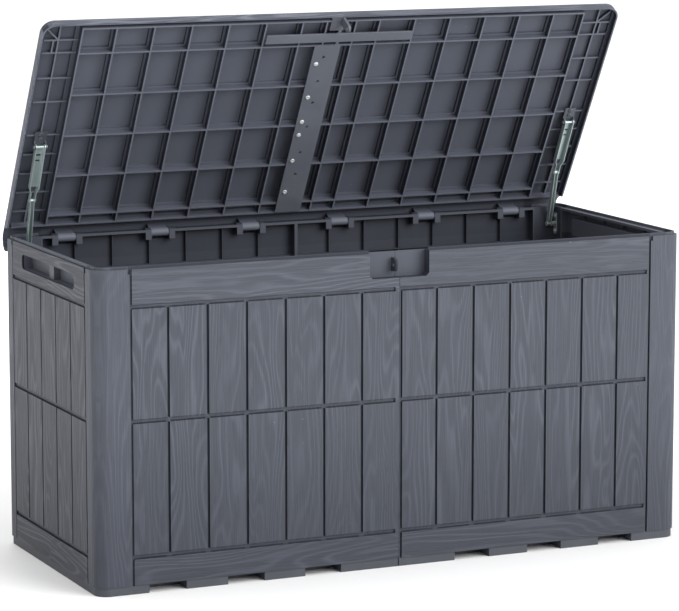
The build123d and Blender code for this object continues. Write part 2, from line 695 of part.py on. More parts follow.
def latch_plate():
    """Plate behind the lid's front edge with a hanging tab for the padlock."""
    front = from_edge(LID_WALL) + FIT
    back = front + LATCH_PLATE_DEPTH - FIT
    outline = rect(LATCH_PLATE_LEFT, LATCH_PLATE_RIGHT, front, back)
    plate = slab(outline, LID_BOTTOM, LID_BOTTOM + LATCH_PLATE_THICKNESS)
    tab = rect(EYE_Y - TAB_HALF, EYE_Y + TAB_HALF, EYE_Z, LID_BOTTOM + LATCH_PLATE_THICKNESS / 2)
    tab += Pos(EYE_Y, EYE_Z) * Circle(TAB_HALF)
    tab -= Pos(EYE_Y, EYE_Z) * Circle(EYE_RADIUS)
    return plate + sheet_x(tab, TAB_LEFT, TAB_LEFT + EYE_PLATE)


def crossbar():
    """Flat bar across the seam, on the ribs near the front edge."""
    front = from_edge(CROSSBAR_SETBACK)
    outline = rect(-CROSSBAR_HALF, CROSSBAR_HALF, front, front + CROSSBAR_WIDTH)
    return slab(outline, LID_BOTTOM - CROSSBAR_THICKNESS, LID_BOTTOM)


def screw_places():
    """Places of the strip's screws that lie on the strip."""
    return [y for y in STRIP_SCREWS if y < LID_REACH - CAVITY_REACH - LEAST_PLANK]


def joining_strip():
    """Strip along the lid's seam, with screw holes and small three-cornered marks."""
    front = from_edge(FRONT_RAIL)
    rear = HINGE_Y - CAVITY_REACH - LID_RIB
    strip = rect(STRIP_LEFT, STRIP_LEFT + STRIP_WIDTH, front, rear)
    for place in screw_places():
        strip -= Pos(STRIP_SCREW_X, from_edge(place)) * RegularPolygon(SCREW_RADIUS + FIT, SCREW_SIDES)
    for mark in STRIP_MARKS:
        strip -= Pos(STRIP_MARK_X, from_edge(mark)) * RegularPolygon(STRIP_MARK, 3)
    return slab(strip, LID_BOTTOM - STRIP_THICKNESS, LID_BOTTOM)


def screw(length):
    """Plain-sided screw pointing up, with the underside of its head at the origin."""
    head = slab(RegularPolygon(SCREW_HEAD_RADIUS, SCREW_SIDES), -SCREW_HEAD, 0)
    return head + slab(RegularPolygon(SCREW_RADIUS, SCREW_SIDES), -SCREW_HEAD / 2, length)


def bosses_at(places, low, screw_tip):
    """Bosses under the lid's skin at some places, and the holes for their screws."""
    bosses = Sketch() + [Pos(*place) * RegularPolygon(BOSS_RADIUS, SCREW_SIDES) for place in places]
    holes = Sketch() + [Pos(*place) * RegularPolygon(SCREW_RADIUS, SCREW_SIDES) for place in places]
    return slab(bosses, low, LID_UNDER), slab(holes, low - 1, screw_tip)


def strip_screws():
    """Screws through the joining strip into the left half of the lid."""
    seat = LID_BOTTOM - STRIP_THICKNESS
    places = [Pos(STRIP_SCREW_X, from_edge(y), seat) for y in screw_places()]
    return Compound(children=[place * screw(SCREW_LENGTH) for place in places])


def strip_bosses():
    """Bosses beside the centre rib that the strip's screws go into, and their holes."""
    places = [(STRIP_SCREW_X, from_edge(y)) for y in screw_places()]
    return bosses_at(places, LID_BOTTOM, LID_BOTTOM - STRIP_THICKNESS + SCREW_LENGTH)


# Folding stays, drawn at the right end


def opened(part):
    """A piece of the closed lid, turned to where the lid stands open."""
    turn = Pos(0, HINGE_Y, HINGE_Z) * Rot(-LID_OPEN_ANGLE, 0, 0) * Pos(0, -HINGE_Y, -HINGE_Z)
    return turn * part


def lid_pivot():
    """Y and z of the stay's pivot on the open lid."""
    angle = math.radians(LID_OPEN_ANGLE)
    lift = LID_BOTTOM + LID_PIVOT_RISE - HINGE_Z
    y = HINGE_Y - LID_PIVOT_REACH * math.cos(angle) + lift * math.sin(angle)
    z = HINGE_Z + LID_PIVOT_REACH * math.sin(angle) + lift * math.cos(angle)
    return y, z


def box_pivot():
    """Y and z of the stay's pivot on the rear post."""
    return HALF_DEPTH - BOX_PIVOT_INSET, RIM_HEIGHT - BOX_PIVOT_DROP


def knee():
    """Y and z of the knee, a little behind the line between the two pivots, where it locks."""
    (y0, z0), (y1, z1) = lid_pivot(), box_pivot()
    span = math.hypot(y1 - y0, z1 - z0)
    along = math.sqrt(UPPER_LENGTH**2 - KNEE_SAG**2)
    dy, dz = (y1 - y0) / span, (z1 - z0) / span
    return y0 + along * dy - KNEE_SAG * dz, z0 + along * dz + KNEE_SAG * dy


def link_plane(start, end):
    """Plane at a link's pivot: x along the link, y along the box's X, z to the front."""
    dy, dz = end[0] - start[0], end[1] - start[1]
    return Plane(origin=(STAY_X, *start), x_dir=(0, dy, dz), z_dir=(0, dz, -dy))


def across(sketch, half_width):
    """Side outline of a link, carried across the link's width."""
    return extrude(Plane.XZ * sketch, half_width, both=True)


def hole_across(x, radius, half_width):
    """Round hole across a link."""
    return Pos(x, 0, 0) * Rot(90, 0, 0) * Cylinder(radius, 2 * half_width)


def upper_link():
    """Channel that narrows to two prongs at the knee, made of one bent sheet."""
    half, neck_half = CHANNEL_WIDTH / 2, NECK_WIDTH / 2
    start, stop = -CHANNEL_DEPTH / 2, UPPER_LENGTH - CHANNEL_STOP
    neck = UPPER_LENGTH - NECK_START
    end = UPPER_LENGTH + NECK_DEPTH / 2
    path_out, path_in = half - CHANNEL_SHEET / 2, neck_half - NECK_SHEET / 2
    flanges = []
    for side in (-1, 1):
        wide = trace(Line((start, side * path_out), (stop, side * path_out)), CHANNEL_SHEET)
        bend = trace(Line((stop, side * path_out), (neck, side * path_in)), NECK_SHEET)
        prong = trace(Line((neck, side * path_in), (end, side * path_in)), NECK_SHEET)
        flanges.append(slab(wide + bend + prong, -CHANNEL_DEPTH / 2, CHANNEL_DEPTH / 2))
    body = rect(0, stop, -CHANNEL_DEPTH / 2, CHANNEL_DEPTH / 2) + Circle(CHANNEL_DEPTH / 2)
    taper = make_face(
        Polyline(
            (stop, -CHANNEL_DEPTH / 2),
            (neck, -NECK_DEPTH / 2),
            (UPPER_LENGTH, -NECK_DEPTH / 2),
            (UPPER_LENGTH, NECK_DEPTH / 2),
            (neck, NECK_DEPTH / 2),
            (stop, CHANNEL_DEPTH / 2),
            close=True,
        )
    )
    outline = body + taper + Pos(UPPER_LENGTH, 0) * Circle(NECK_DEPTH / 2)
    web = slab(rect(0, stop, -half, half), -CHANNEL_DEPTH / 2, -CHANNEL_DEPTH / 2 + CHANNEL_SHEET)
    link = (flanges[0] + flanges[1]) & across(outline, half)
    link += web
    for place in WEB_SLOTS:
        slot = rect(place - WEB_SLOT / 2, place + WEB_SLOT / 2, -WEB_SLOT_WIDTH / 2, WEB_SLOT_WIDTH / 2)
        link -= slab(slot, -CHANNEL_DEPTH, 0)
    link -= hole_across(0, STAY_PIN_RADIUS + PIN_FIT, half + 1)
    link -= hole_across(UPPER_LENGTH, RIVET_RADIUS, neck_half + 1)
    return link_plane(lid_pivot(), knee()).location * link


def knee_rivets():
    """Rivet ends in the upper link's prongs at the knee."""
    face = NECK_WIDTH / 2
    rivets = []
    for side in (-1, 1):
        shank_place = Pos(UPPER_LENGTH, side * (face - NECK_SHEET / 2), 0) * Rot(90, 0, 0)
        head_place = Pos(UPPER_LENGTH, side * (face + RIVET_HEAD / 2), 0) * Rot(90, 0, 0)
        shank = shank_place * Cylinder(RIVET_RADIUS, NECK_SHEET)
        rivets.append(shank + head_place * Cylinder(RIVET_HEAD_RADIUS, RIVET_HEAD))
    place = link_plane(lid_pivot(), knee()).location
    return Compound(children=[place * rivet for rivet in rivets])


def lower_link():
    """Narrow channel between the post's pivot and the knee, with a bush across its upper end."""
    (y0, z0), (y1, z1) = box_pivot(), knee()
    length = math.hypot(y1 - y0, z1 - z0)
    half, half_depth = LOWER_WIDTH / 2, LOWER_DEPTH / 2
    outline = rect(0, length, -half_depth, half_depth)
    outline += [Circle(half_depth), Pos(length, 0) * Circle(half_depth)]
    inside = rect(-LOWER_DEPTH, length + LOWER_DEPTH, -half + LOWER_SHEET, half - LOWER_SHEET)
    open_ends = rect(-LOWER_DEPTH, half_depth, -half, half)
    open_ends += rect(length - half_depth, length + LOWER_DEPTH, -half, half)
    link = across(outline, half) - slab(inside, -half_depth, half_depth - LOWER_SHEET)
    link -= slab(open_ends & inside, -LOWER_DEPTH, LOWER_DEPTH)
    link += Pos(length, 0, 0) * Rot(90, 0, 0) * Cylinder(RIVET_HEAD_RADIUS, LOWER_WIDTH - LOWER_SHEET)
    link -= hole_across(length, RIVET_RADIUS, half + 1)
    link -= hole_across(0, STAY_PIN_RADIUS + PIN_FIT, half + 1)
    return link_plane(box_pivot(), knee()).location * link


def closed_lid_pivot():
    """Y and z of the stay's pivot on the closed lid."""
    return from_hinge(LID_PIVOT_REACH), LID_BOTTOM + LID_PIVOT_RISE


def lid_bracket():
    """Bent sheet bracket under the lid's end band, drawn on the closed lid."""
    ear_in = CHANNEL_WIDTH / 2 + FIT
    ear_out = ear_in + BRACKET_SHEET
    pivot_y, pivot_z = closed_lid_pivot()
    under = BAND_BOTTOM - BRACKET_SHEET
    plate = rect(STAY_X - ear_out, STAY_X + ear_out, pivot_y - LID_BRACKET_REACH, pivot_y + LID_EAR_HALF)
    for x, y in bracket_screw_places():
        plate -= Pos(x, y) * RegularPolygon(SCREW_RADIUS + FIT, SCREW_SIDES)
    bracket = slab(plate, under, BAND_BOTTOM)
    ear = make_hull(
        [
            Pos(pivot_y, pivot_z) * CenterArc((0, 0), CHANNEL_DEPTH / 2, 0, 360),
            Line((pivot_y - LID_EAR_HALF, under), (pivot_y + LID_EAR_HALF, under)),
        ]
    )
    ear -= Pos(pivot_y, pivot_z) * Circle(STAY_PIN_RADIUS + SNUG_FIT)
    for low, high in ((-ear_out, -ear_in), (ear_in, ear_out)):
        bracket += sheet_x(ear, STAY_X + low, STAY_X + high)
    return bracket


def lid_pin():
    """Pin with flat heads through the lid bracket and the upper link, drawn on the closed lid."""
    half = CHANNEL_WIDTH / 2 + FIT + BRACKET_SHEET
    pivot = closed_lid_pivot()
    pin = rod(STAY_X - half, STAY_X + half, *pivot, STAY_PIN_RADIUS)
    pin += rod(STAY_X - half - RIVET_HEAD, STAY_X - half, *pivot, RIVET_HEAD_RADIUS)
    return pin + rod(STAY_X + half, STAY_X + half + RIVET_HEAD, *pivot, RIVET_HEAD_RADIUS)


def bracket_screw_places():
    """X and y of the lid bracket's screws, in front of its pivot on the closed lid."""
    return [(STAY_X, from_hinge(LID_PIVOT_REACH) - place) for place in LID_BRACKET_SCREWS]


def lid_bracket_screws():
    """Screws through the lid bracket into the band's middle rib."""
    seat = BAND_BOTTOM - BRACKET_SHEET
    return [Pos(x, y, seat) * screw(LID_BRACKET_SCREW) for x, y in bracket_screw_places()]


def lid_bracket_bosses():
    """Bosses on the band's middle rib under the lid bracket's screws, and their holes."""
    return bosses_at(bracket_screw_places(), BAND_BOTTOM, BAND_BOTTOM - BRACKET_SHEET + LID_BRACKET_SCREW)


def box_bracket():
    """Plate on the rear post's inner face with a sleeve for the lower link's pin."""
    y, z = box_pivot()
    outline = Pos(y, z) * RectangleRounded(BOX_BRACKET_WIDTH, BOX_BRACKET_HEIGHT, BOX_SLEEVE_RADIUS)
    outline -= Pos(y, z) * Circle(STAY_PIN_RADIUS + SNUG_FIT)
    for end in (-1, 1):
        outline -= Pos(y, z + end * BOX_SCREW_SPAN / 2) * RegularPolygon(SCREW_RADIUS + FIT, SCREW_SIDES)
    plate = sheet_x(outline, INNER_X - BRACKET_SHEET, INNER_X)
    sleeve = Pos(y, z) * Circle(BOX_SLEEVE_RADIUS) - Pos(y, z) * Circle(STAY_PIN_RADIUS + SNUG_FIT)
    return plate + sheet_x(sleeve, STAY_X + LOWER_WIDTH / 2 + FIT, INNER_X - BRACKET_SHEET)


def box_pin():
    """Headed pin that the lower link turns on."""
    y, z = box_pivot()
    inner = STAY_X - LOWER_WIDTH / 2 - FIT
    pin = rod(inner, INNER_X, y, z, STAY_PIN_RADIUS)
    return pin + rod(inner - RIVET_HEAD, inner, y, z, BOX_SLEEVE_RADIUS)


def box_bracket_screws():
    """Screws through the box bracket into the rear post."""
    y, z = box_pivot()
    turn = Rot(0, 90, 0)
    ends = (-BOX_SCREW_SPAN / 2, BOX_SCREW_SPAN / 2)
    return [Pos(INNER_X - BRACKET_SHEET, y, z + end) * turn * screw(SCREW_LENGTH) for end in ends]


def post_screw_holes():
    """Holes in the rear post for the box bracket's screws."""
    y, z = box_pivot()
    ends = (-BOX_SCREW_SPAN / 2, BOX_SCREW_SPAN / 2)
    holes = Sketch() + [Pos(y, z + end) * RegularPolygon(SCREW_RADIUS, SCREW_SIDES) for end in ends]
    return sheet_x(holes, INNER_X - 1, INNER_X - BRACKET_SHEET + SCREW_LENGTH)


def all_pieces():
    """Every piece under its own name."""
    pieces = {}
    base = base_half() - base_seat()
    post = corner_post() + corner_lip()
    strip = centre_strip()
    bosses, holes = lid_bracket_bosses()
    lid = lid_half() + bosses - holes
    bosses, holes = strip_bosses()
    lid_left = mirrored(lid) + bosses - holes
    both_ends = {
        "post_front": mirror(post, about=Plane.XZ),
        "post_rear": post - post_screw_holes(),
        "end_panel": end_panel(),
        "stay_box_bracket": box_bracket(),
        "stay_box_pin": box_pin(),
        "stay_lower_link": lower_link(),
        "stay_upper_link": upper_link(),
        "stay_knee_rivets": knee_rivets(),
        "stay_lid_bracket": opened(lid_bracket()),
        "stay_lid_pin": opened(lid_pin()),
    }
    for name, piece in both_ends.items():
        pieces[name + "_right"] = piece
        pieces[name + "_left"] = mirrored(piece)
    pieces["base_left"] = mirrored(base) + locator(0)
    pieces["base_right"] = base - locator(FIT)
    pieces["base_clips"] = base_clips()
    pieces["front_panel_left"] = front_panel(-1) + padlock_eye()
    pieces["front_panel_right"] = front_panel(1)
    pieces["centre_strip_front"] = strip
    pieces["centre_strip_back"] = mirror(strip, about=Plane.XZ)
    for name, side in (("left", -1), ("right", 1)):
        pieces["back_panel_" + name] = back_panel(side)
        pieces["hinge_pins_" + name] = hinge_pins(side)
    pieces["lid_left"] = opened(lid_left - latch_seat())
    pieces["lid_right"] = opened(lid - latch_seat())
    pieces["lid_joining_strip"] = opened(joining_strip())
    pieces["lid_strip_screws"] = opened(strip_screws())
    pieces["lid_crossbar"] = opened(crossbar())
    pieces["lid_latch_plate"] = opened(latch_plate())
    lid_screws = lid_bracket_screws()
    box_screws = box_bracket_screws()
    pieces["stay_lid_screws"] = opened(Compound(children=lid_screws + [mirrored(s) for s in lid_screws]))
    pieces["stay_box_screws"] = Compound(children=box_screws + [mirrored(s) for s in box_screws])
    return pieces


os.makedirs("parts", exist_ok=True)
for node, shape in all_pieces().items():
    export_step(shape, f"parts/{node}.step")
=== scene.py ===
import json
import logging
import math
from dataclasses import dataclass
from enum import Enum
from typing import Sequence, Union

import bpy
import numpy as np
from mathutils import Matrix, Vector


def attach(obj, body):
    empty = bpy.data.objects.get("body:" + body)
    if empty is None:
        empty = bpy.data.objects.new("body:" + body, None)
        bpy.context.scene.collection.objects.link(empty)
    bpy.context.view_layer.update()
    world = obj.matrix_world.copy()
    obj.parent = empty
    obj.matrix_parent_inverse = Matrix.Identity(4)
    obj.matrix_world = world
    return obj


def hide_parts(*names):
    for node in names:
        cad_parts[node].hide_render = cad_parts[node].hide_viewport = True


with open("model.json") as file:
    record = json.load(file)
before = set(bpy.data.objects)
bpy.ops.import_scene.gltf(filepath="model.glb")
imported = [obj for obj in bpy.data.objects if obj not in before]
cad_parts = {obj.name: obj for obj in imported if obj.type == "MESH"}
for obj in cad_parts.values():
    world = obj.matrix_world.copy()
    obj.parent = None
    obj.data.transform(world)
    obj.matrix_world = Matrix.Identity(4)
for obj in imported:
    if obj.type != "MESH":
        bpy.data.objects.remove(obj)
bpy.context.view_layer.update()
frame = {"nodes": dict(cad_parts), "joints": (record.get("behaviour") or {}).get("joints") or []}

# Looks of the deck storage box: moulded wood-grain resin, plated stays, and the studio round it.
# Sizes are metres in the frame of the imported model, and colours are linear.

LOG = logging.getLogger("deck_box")
SIDES = ("left", "right")

Colour = tuple[float, float, float]
Place = tuple[float, float, float]
Span = tuple[float, float]
Socket = bpy.types.NodeSocket
Feed = Union[Socket, float, tuple]


class Facing(Enum):
    """Which way a wall panel faces, so which coordinate runs along it."""

    FRONT = "X"
    END = "Y"


class SocketKind(Enum):
    """Socket types of the shader groups."""

    VALUE = "NodeSocketFloat"
    VECTOR = "NodeSocketVector"


@dataclass(frozen=True)
class LidTurn:
    """The lid's hinge: where its axle lies, and how far the lid stands open as drawn."""

    y: float
    z: float
    angle: float

    @classmethod
    def from_frame(cls) -> "LidTurn":
        """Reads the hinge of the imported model.

        Returns:
            The hinge's place and the angle between open and shut.
        """
        hinge = next(joint for joint in frame["joints"] if joint["name"] == "lid_hinge")
        _, y, z = hinge["pos_m"]
        return cls(y, z, math.radians(hinge["range_deg"][1]))

    def opened(self) -> Matrix:
        """The turn that takes a place on the shut lid to the open lid."""
        axle = Matrix.Translation((0.0, self.y, self.z))
        return axle @ Matrix.Rotation(-self.angle, 4, "X") @ axle.inverted()


@dataclass(frozen=True)
class ShaderSheet:
    """A node tree with short calls for the nodes that the finishes use."""

    tree: bpy.types.NodeTree

    @classmethod
    def group(
        cls, name: str, inputs: dict[str, SocketKind], outputs: Sequence[str]
    ) -> tuple["ShaderSheet", bpy.types.Node, bpy.types.Node]:
        """Makes an empty shader group with its sockets.

        Args:
            name: the group's name.
            inputs: names and types of the inputs.
            outputs: names of the outputs, which are numbers.

        Returns:
            The sheet on the group's tree, its input node and its output node.
        """
        tree = bpy.data.node_groups.new(name, "ShaderNodeTree")
        for title, kind in inputs.items():
            tree.interface.new_socket(name=title, in_out="INPUT", socket_type=kind.value)
        for title in outputs:
            tree.interface.new_socket(name=title, in_out="OUTPUT", socket_type=SocketKind.VALUE.value)
        sheet = cls(tree)
        return sheet, sheet.node("NodeGroupInput"), sheet.node("NodeGroupOutput")

    def node(self, kind: str, **settings: object) -> bpy.types.Node:
        """Adds a node and sets its plain properties.

        Args:
            kind: the node's type name.
            settings: properties set on the node.

        Returns:
            The new node.
        """
        made = self.tree.nodes.new(kind)
        for name, value in settings.items():
            setattr(made, name, value)
        return made

    def feed(self, socket: Socket, item: Feed) -> None:
        """Links a socket to an output, or sets it to a constant.

        Args:
            socket: the input socket.
            item: an output socket, a number or a tuple.
        """
        if isinstance(item, Socket):
            self.tree.links.new(item, socket)
        else:
            socket.default_value = item

    def calc(
        self, operation: str, first: Feed, second: Feed = 0.0, third: Feed = 0.0, clamp: bool = False
    ) -> Socket:
        """One Math node.

        Args:
            operation: the Math node's operation.
            first: the first value.
            second: the second value.
            third: the third value, for operations that take one.
            clamp: True keeps the result between 0 and 1.

        Returns:
            The result's socket.
        """
        made = self.node("ShaderNodeMath", operation=operation, use_clamp=clamp)
        for socket, item in zip(made.inputs, (first, second, third)):
            self.feed(socket, item)
        return made.outputs[0]

    def plus(self, first: Feed, second: Feed) -> Socket:
        """The sum of two values."""
        return self.calc("ADD", first, second)

    def minus(self, first: Feed, second: Feed) -> Socket:
        """The first value less the second."""
        return self.calc("SUBTRACT", first, second)

    def times(self, first: Feed, second: Feed) -> Socket:
        """The product of two values."""
        return self.calc("MULTIPLY", first, second)

    def most(self, first: Feed, second: Feed) -> Socket:
        """The larger of two values."""
        return self.calc("MAXIMUM", first, second)

    def above(self, value: Feed, limit: float) -> Socket:
        """A mask that is 1 where a value is over a limit."""
        return self.calc("GREATER_THAN", value, limit)

    def below(self, value: Feed, limit: float) -> Socket:
        """A mask that is 1 where a value is under a limit."""
        return self.calc("LESS_THAN", value, limit)

    def between(self, value: Feed, low: float, high: float) -> Socket:
        """A mask that is 1 where a value lies between two limits."""
        return self.times(self.above(value, low), self.below(value, high))

    def sign(self, value: Feed) -> Socket:
        """-1 or 1, by the side of 0 on which a value lies."""
        return self.calc("SIGN", value)

    def size(self, value: Feed) -> Socket:
        """A value without its sign."""
        return self.calc("ABSOLUTE", value)

    def span(self, value: Feed, low: float, high: float) -> Socket:
        """Maps a value smoothly from 0 at low to 1 at high.

        Args:
            value: the value to map.
            low: where the result is 0.
            high: where the result is 1.

        Returns:
            The result's socket.
        """
        made = self.node("ShaderNodeMapRange", interpolation_type="SMOOTHSTEP")
        self.feed(made.inputs["Value"], value)
        made.inputs["From Min"].default_value = low
        made.inputs["From Max"].default_value = high
        return made.outputs["Result"]

    def pick(self, amount: Feed, low: Feed, high: Feed) -> Socket:
        """Mixes two numbers.

        Args:
            amount: 0 gives low and 1 gives high.
            low: the first number.
            high: the second number.

        Returns:
            The mixed number's socket.
        """
        made = self.node("ShaderNodeMix", data_type="FLOAT")
        for index, item in ((0, amount), (2, low), (3, high)):
            self.feed(made.inputs[index], item)
        return made.outputs[0]

    def tint(self, amount: Feed, low: Feed, high: Feed) -> Socket:
        """Mixes two colours.

        Args:
            amount: 0 gives low and 1 gives high.
            low: the first colour, a socket or a linear triple.
            high: the second colour, a socket or a linear triple.

        Returns:
            The mixed colour's socket.
        """
        made = self.node("ShaderNodeMix", data_type="RGBA")
        self.feed(made.inputs[0], amount)
        for socket, item in ((made.inputs[6], low), (made.inputs[7], high)):
            self.feed(socket, item if isinstance(item, Socket) else (*item, 1.0))
        return made.outputs[2]

    def join(self, x: Feed, y: Feed, z: Feed) -> Socket:
        """Joins three numbers to one vector.

        Args:
            x: the first number.
            y: the second number.
            z: the third number.

        Returns:
            The vector's socket.
        """
        made = self.node("ShaderNodeCombineXYZ")
        for socket, item in zip(made.inputs, (x, y, z)):
            self.feed(socket, item)
        return made.outputs[0]

    def split(self, vector: Socket) -> tuple[Socket, ...]:
        """Splits a vector.

        Args:
            vector: the vector's socket.

        Returns:
            The sockets of its three numbers.
        """
        made = self.node("ShaderNodeSeparateXYZ")
        self.feed(made.inputs[0], vector)
        return tuple(made.outputs)

    def noise(self, vector: Feed, scale: float, detail: float, stir: float = 0.0) -> Socket:
        """Noise over a vector.

        Args:
            vector: where the noise is read.
            scale: how fine it is.
            detail: how many finer layers it has.
            stir: how far it is stirred.

        Returns:
            The noise value's socket.
        """
        made = self.node("ShaderNodeTexNoise")
        self.feed(made.inputs["Vector"], vector)
        made.inputs["Scale"].default_value = scale
        made.inputs["Detail"].default_value = detail
        made.inputs["Distortion"].default_value = stir
        return made.outputs["Fac"]

    def use(self, group: bpy.types.NodeTree, **inputs: Feed) -> bpy.types.Node:
        """Places a shader group and feeds its inputs by name.

        Args:
            group: the group's tree.
            inputs: what each named input takes.

        Returns:
            The group's node.
        """
        made = self.node("ShaderNodeGroup", node_tree=group)
        for name, item in inputs.items():
            self.feed(made.inputs[name], item)
        return made


@dataclass(frozen=True)
class MouldedGrain:
    """Wood grain pressed into resin: contour lines of a long smooth field, with fibres and short pores.

    Counts are per metre, and shares are parts of the whole streak.
    """

    field_across: float = 15.0
    field_along: float = 2.2
    field_detail: float = 1.5
    field_stir: float = 0.35
    ring_gain: float = 14.0
    ring_slope: float = 64.0
    ring_sharpness: float = 3.0
    ring_share: float = 0.7
    faint_ring: float = 0.3
    patch_scale: float = 0.6
    patch_detail: float = 1.0
    patch_span: Span = (0.3, 0.7)
    fibre_across: float = 620.0
    fibre_along: float = 11.0
    fibre_detail: float = 2.0
    fibre_span: Span = (0.35, 0.68)
    fibre_share: float = 0.3
    pore_across: float = 300.0
    pore_along: float = 30.0
    pore_detail: float = 1.0
    pore_span: Span = (0.6, 0.72)
    pore_share: float = 0.25

    def build(self) -> bpy.types.NodeTree:
        """Builds the group: the rings are a sine of the field and a slope across, thinned by a power.

        Returns:
            A group that turns a place along and across the grain into a streak mask.
        """
        inputs = dict.fromkeys(("Along", "Across", "Seed"), SocketKind.VALUE)
        sheet, source, sink = ShaderSheet.group("Moulded grain", inputs, ("Streak",))
        along, across, seed = (source.outputs[name] for name in inputs)

        def place(per_across: float, per_along: float) -> Socket:
            """A place in the pattern, stretched by its counts across and along."""
            return sheet.join(sheet.times(across, per_across), sheet.times(along, per_along), seed)

        wide = place(self.field_across, self.field_along)
        field = sheet.noise(wide, 1.0, self.field_detail, self.field_stir)
        turns = sheet.plus(sheet.times(field, self.ring_gain), sheet.times(across, self.ring_slope))
        wave = sheet.calc("SINE", sheet.times(turns, math.tau))
        ring = sheet.calc("POWER", sheet.calc("MULTIPLY_ADD", wave, 0.5, 0.5), self.ring_sharpness)
        patch = sheet.span(sheet.noise(wide, self.patch_scale, self.patch_detail), *self.patch_span)
        strong = sheet.times(ring, sheet.pick(patch, self.faint_ring, 1.0))
        threads = sheet.noise(place(self.fibre_across, self.fibre_along), 1.0, self.fibre_detail)
        fibre = sheet.span(threads, *self.fibre_span)
        dots = sheet.noise(place(self.pore_across, self.pore_along), 1.0, self.pore_detail)
        pore = sheet.span(dots, *self.pore_span)
        body = sheet.plus(sheet.times(strong, self.ring_share), sheet.times(fibre, self.fibre_share))
        streak = sheet.calc("SUBTRACT", body, sheet.times(pore, self.pore_share), clamp=True)
        sheet.feed(sink.inputs["Streak"], streak)
        return sheet.tree


@dataclass(frozen=True)
class HandlingScuffs:
    """Faint cloudy rubs from handling, and a few small nicks. Scales are per metre."""

    cloud_scale: float = 7.0
    cloud_detail: float = 3.0
    cloud_stir: float = 0.6
    cloud_span: Span = (0.42, 0.72)
    streak_scale: float = 120.0
    streak_detail: float = 2.0
    streak_stir: float = 1.5
    streak_span: Span = (0.45, 0.7)
    faint_streak: float = 0.55
    nick_scale: float = 22.0
    nick_span: Span = (0.026, 0.016)

    def build(self) -> bpy.types.NodeTree:
        """Builds the group: clouds broken by fine streaks, and the nearest of scattered points for the nicks.

        Returns:
            A group that turns a place into a rub mask and a nick mask.
        """
        inputs = {"Place": SocketKind.VECTOR}
        sheet, source, sink = ShaderSheet.group("Handling scuffs", inputs, ("Mask", "Nick"))
        place = source.outputs["Place"]
        haze = sheet.noise(place, self.cloud_scale, self.cloud_detail, self.cloud_stir)
        cloud = sheet.span(haze, *self.cloud_span)
        lines = sheet.noise(place, self.streak_scale, self.streak_detail, self.streak_stir)
        streaks = sheet.span(lines, *self.streak_span)
        sheet.feed(sink.inputs["Mask"], sheet.times(cloud, sheet.pick(streaks, self.faint_streak, 1.0)))
        spots = sheet.node("ShaderNodeTexVoronoi", feature="F1")
        sheet.feed(spots.inputs["Vector"], place)
        spots.inputs["Scale"].default_value = self.nick_scale
        sheet.feed(sink.inputs["Nick"], sheet.span(spots.outputs["Distance"], *self.nick_span))
        return sheet.tree


@dataclass(frozen=True)
class FineStipple:
    """Fine texture of a moulded surface. Scales are per metre."""

    fine_scale: float = 900.0
    fine_share: float = 0.7
    broad_scale: float = 60.0
    broad_share: float = 0.3
    detail: float = 2.0

    def build(self) -> bpy.types.NodeTree:
        """Builds the group: fine noise on broad noise.

        Returns:
            A group that turns a place into a small height.
        """
        sheet, source, sink = ShaderSheet.group("Fine stipple", {"Place": SocketKind.VECTOR}, ("Height",))
        fine = sheet.noise(source.outputs["Place"], self.fine_scale, self.detail)
        broad = sheet.noise(source.outputs["Place"], self.broad_scale, self.detail)
        height = sheet.plus(sheet.times(fine, self.fine_share), sheet.times(broad, self.broad_share))
        sheet.feed(sink.inputs["Height"], height)
        return sheet.tree


class SharedEffects:
    """Shader groups that several finishes use, each built once."""

    def __init__(self) -> None:
        """Builds every group."""
        self.grain = MouldedGrain().build()
        self.scuffs = HandlingScuffs().build()
        self.stipple = FineStipple().build()


@dataclass(frozen=True)
class Finish:
    """A finish's own values, with the steps that every finish shares."""

    name: str
    dark: Colour
    light: Colour
    roughness: float
    bump_height: float

    def begin(self) -> tuple[bpy.types.Material, ShaderSheet, bpy.types.Node]:
        """Makes the material.

        Returns:
            The material, the sheet on its nodes and its Principled shader.
        """
        material = bpy.data.materials.new(self.name)
        material.use_nodes = True
        sheet = ShaderSheet(material.node_tree)
        return material, sheet, material.node_tree.nodes["Principled BSDF"]

    def relief(self, sheet: ShaderSheet, shader: bpy.types.Node, height: Socket) -> None:
        """Presses a height into the surface's normal.

        Args:
            sheet: the material's sheet.
            shader: the Principled shader.
            height: the height's socket, 0 to 1.
        """
        bump = sheet.node("ShaderNodeBump")
        bump.inputs["Distance"].default_value = self.bump_height
        sheet.feed(bump.inputs["Height"], height)
        sheet.feed(shader.inputs["Normal"], bump.outputs["Normal"])


@dataclass(frozen=True)
class FaceMasks:
    """Which faces of a moulding look how, each from 0 to 1.

    outer is 1 on the grained outer faces and 0 inside. groove is how far painted shade darkens the grooves.
    hollow is how far painted shade darkens the inner faces, and tip how far a painted highlight lightens
    inner faces that stand out. The last is how far a painted highlight lifts the grain, which the lid's edge
    uses.
    """

    outer: Feed
    groove: Feed = 0.0
    hollow: Feed = 0.0
    tip: Feed = 0.0
    edge_highlight: Feed = 0.0


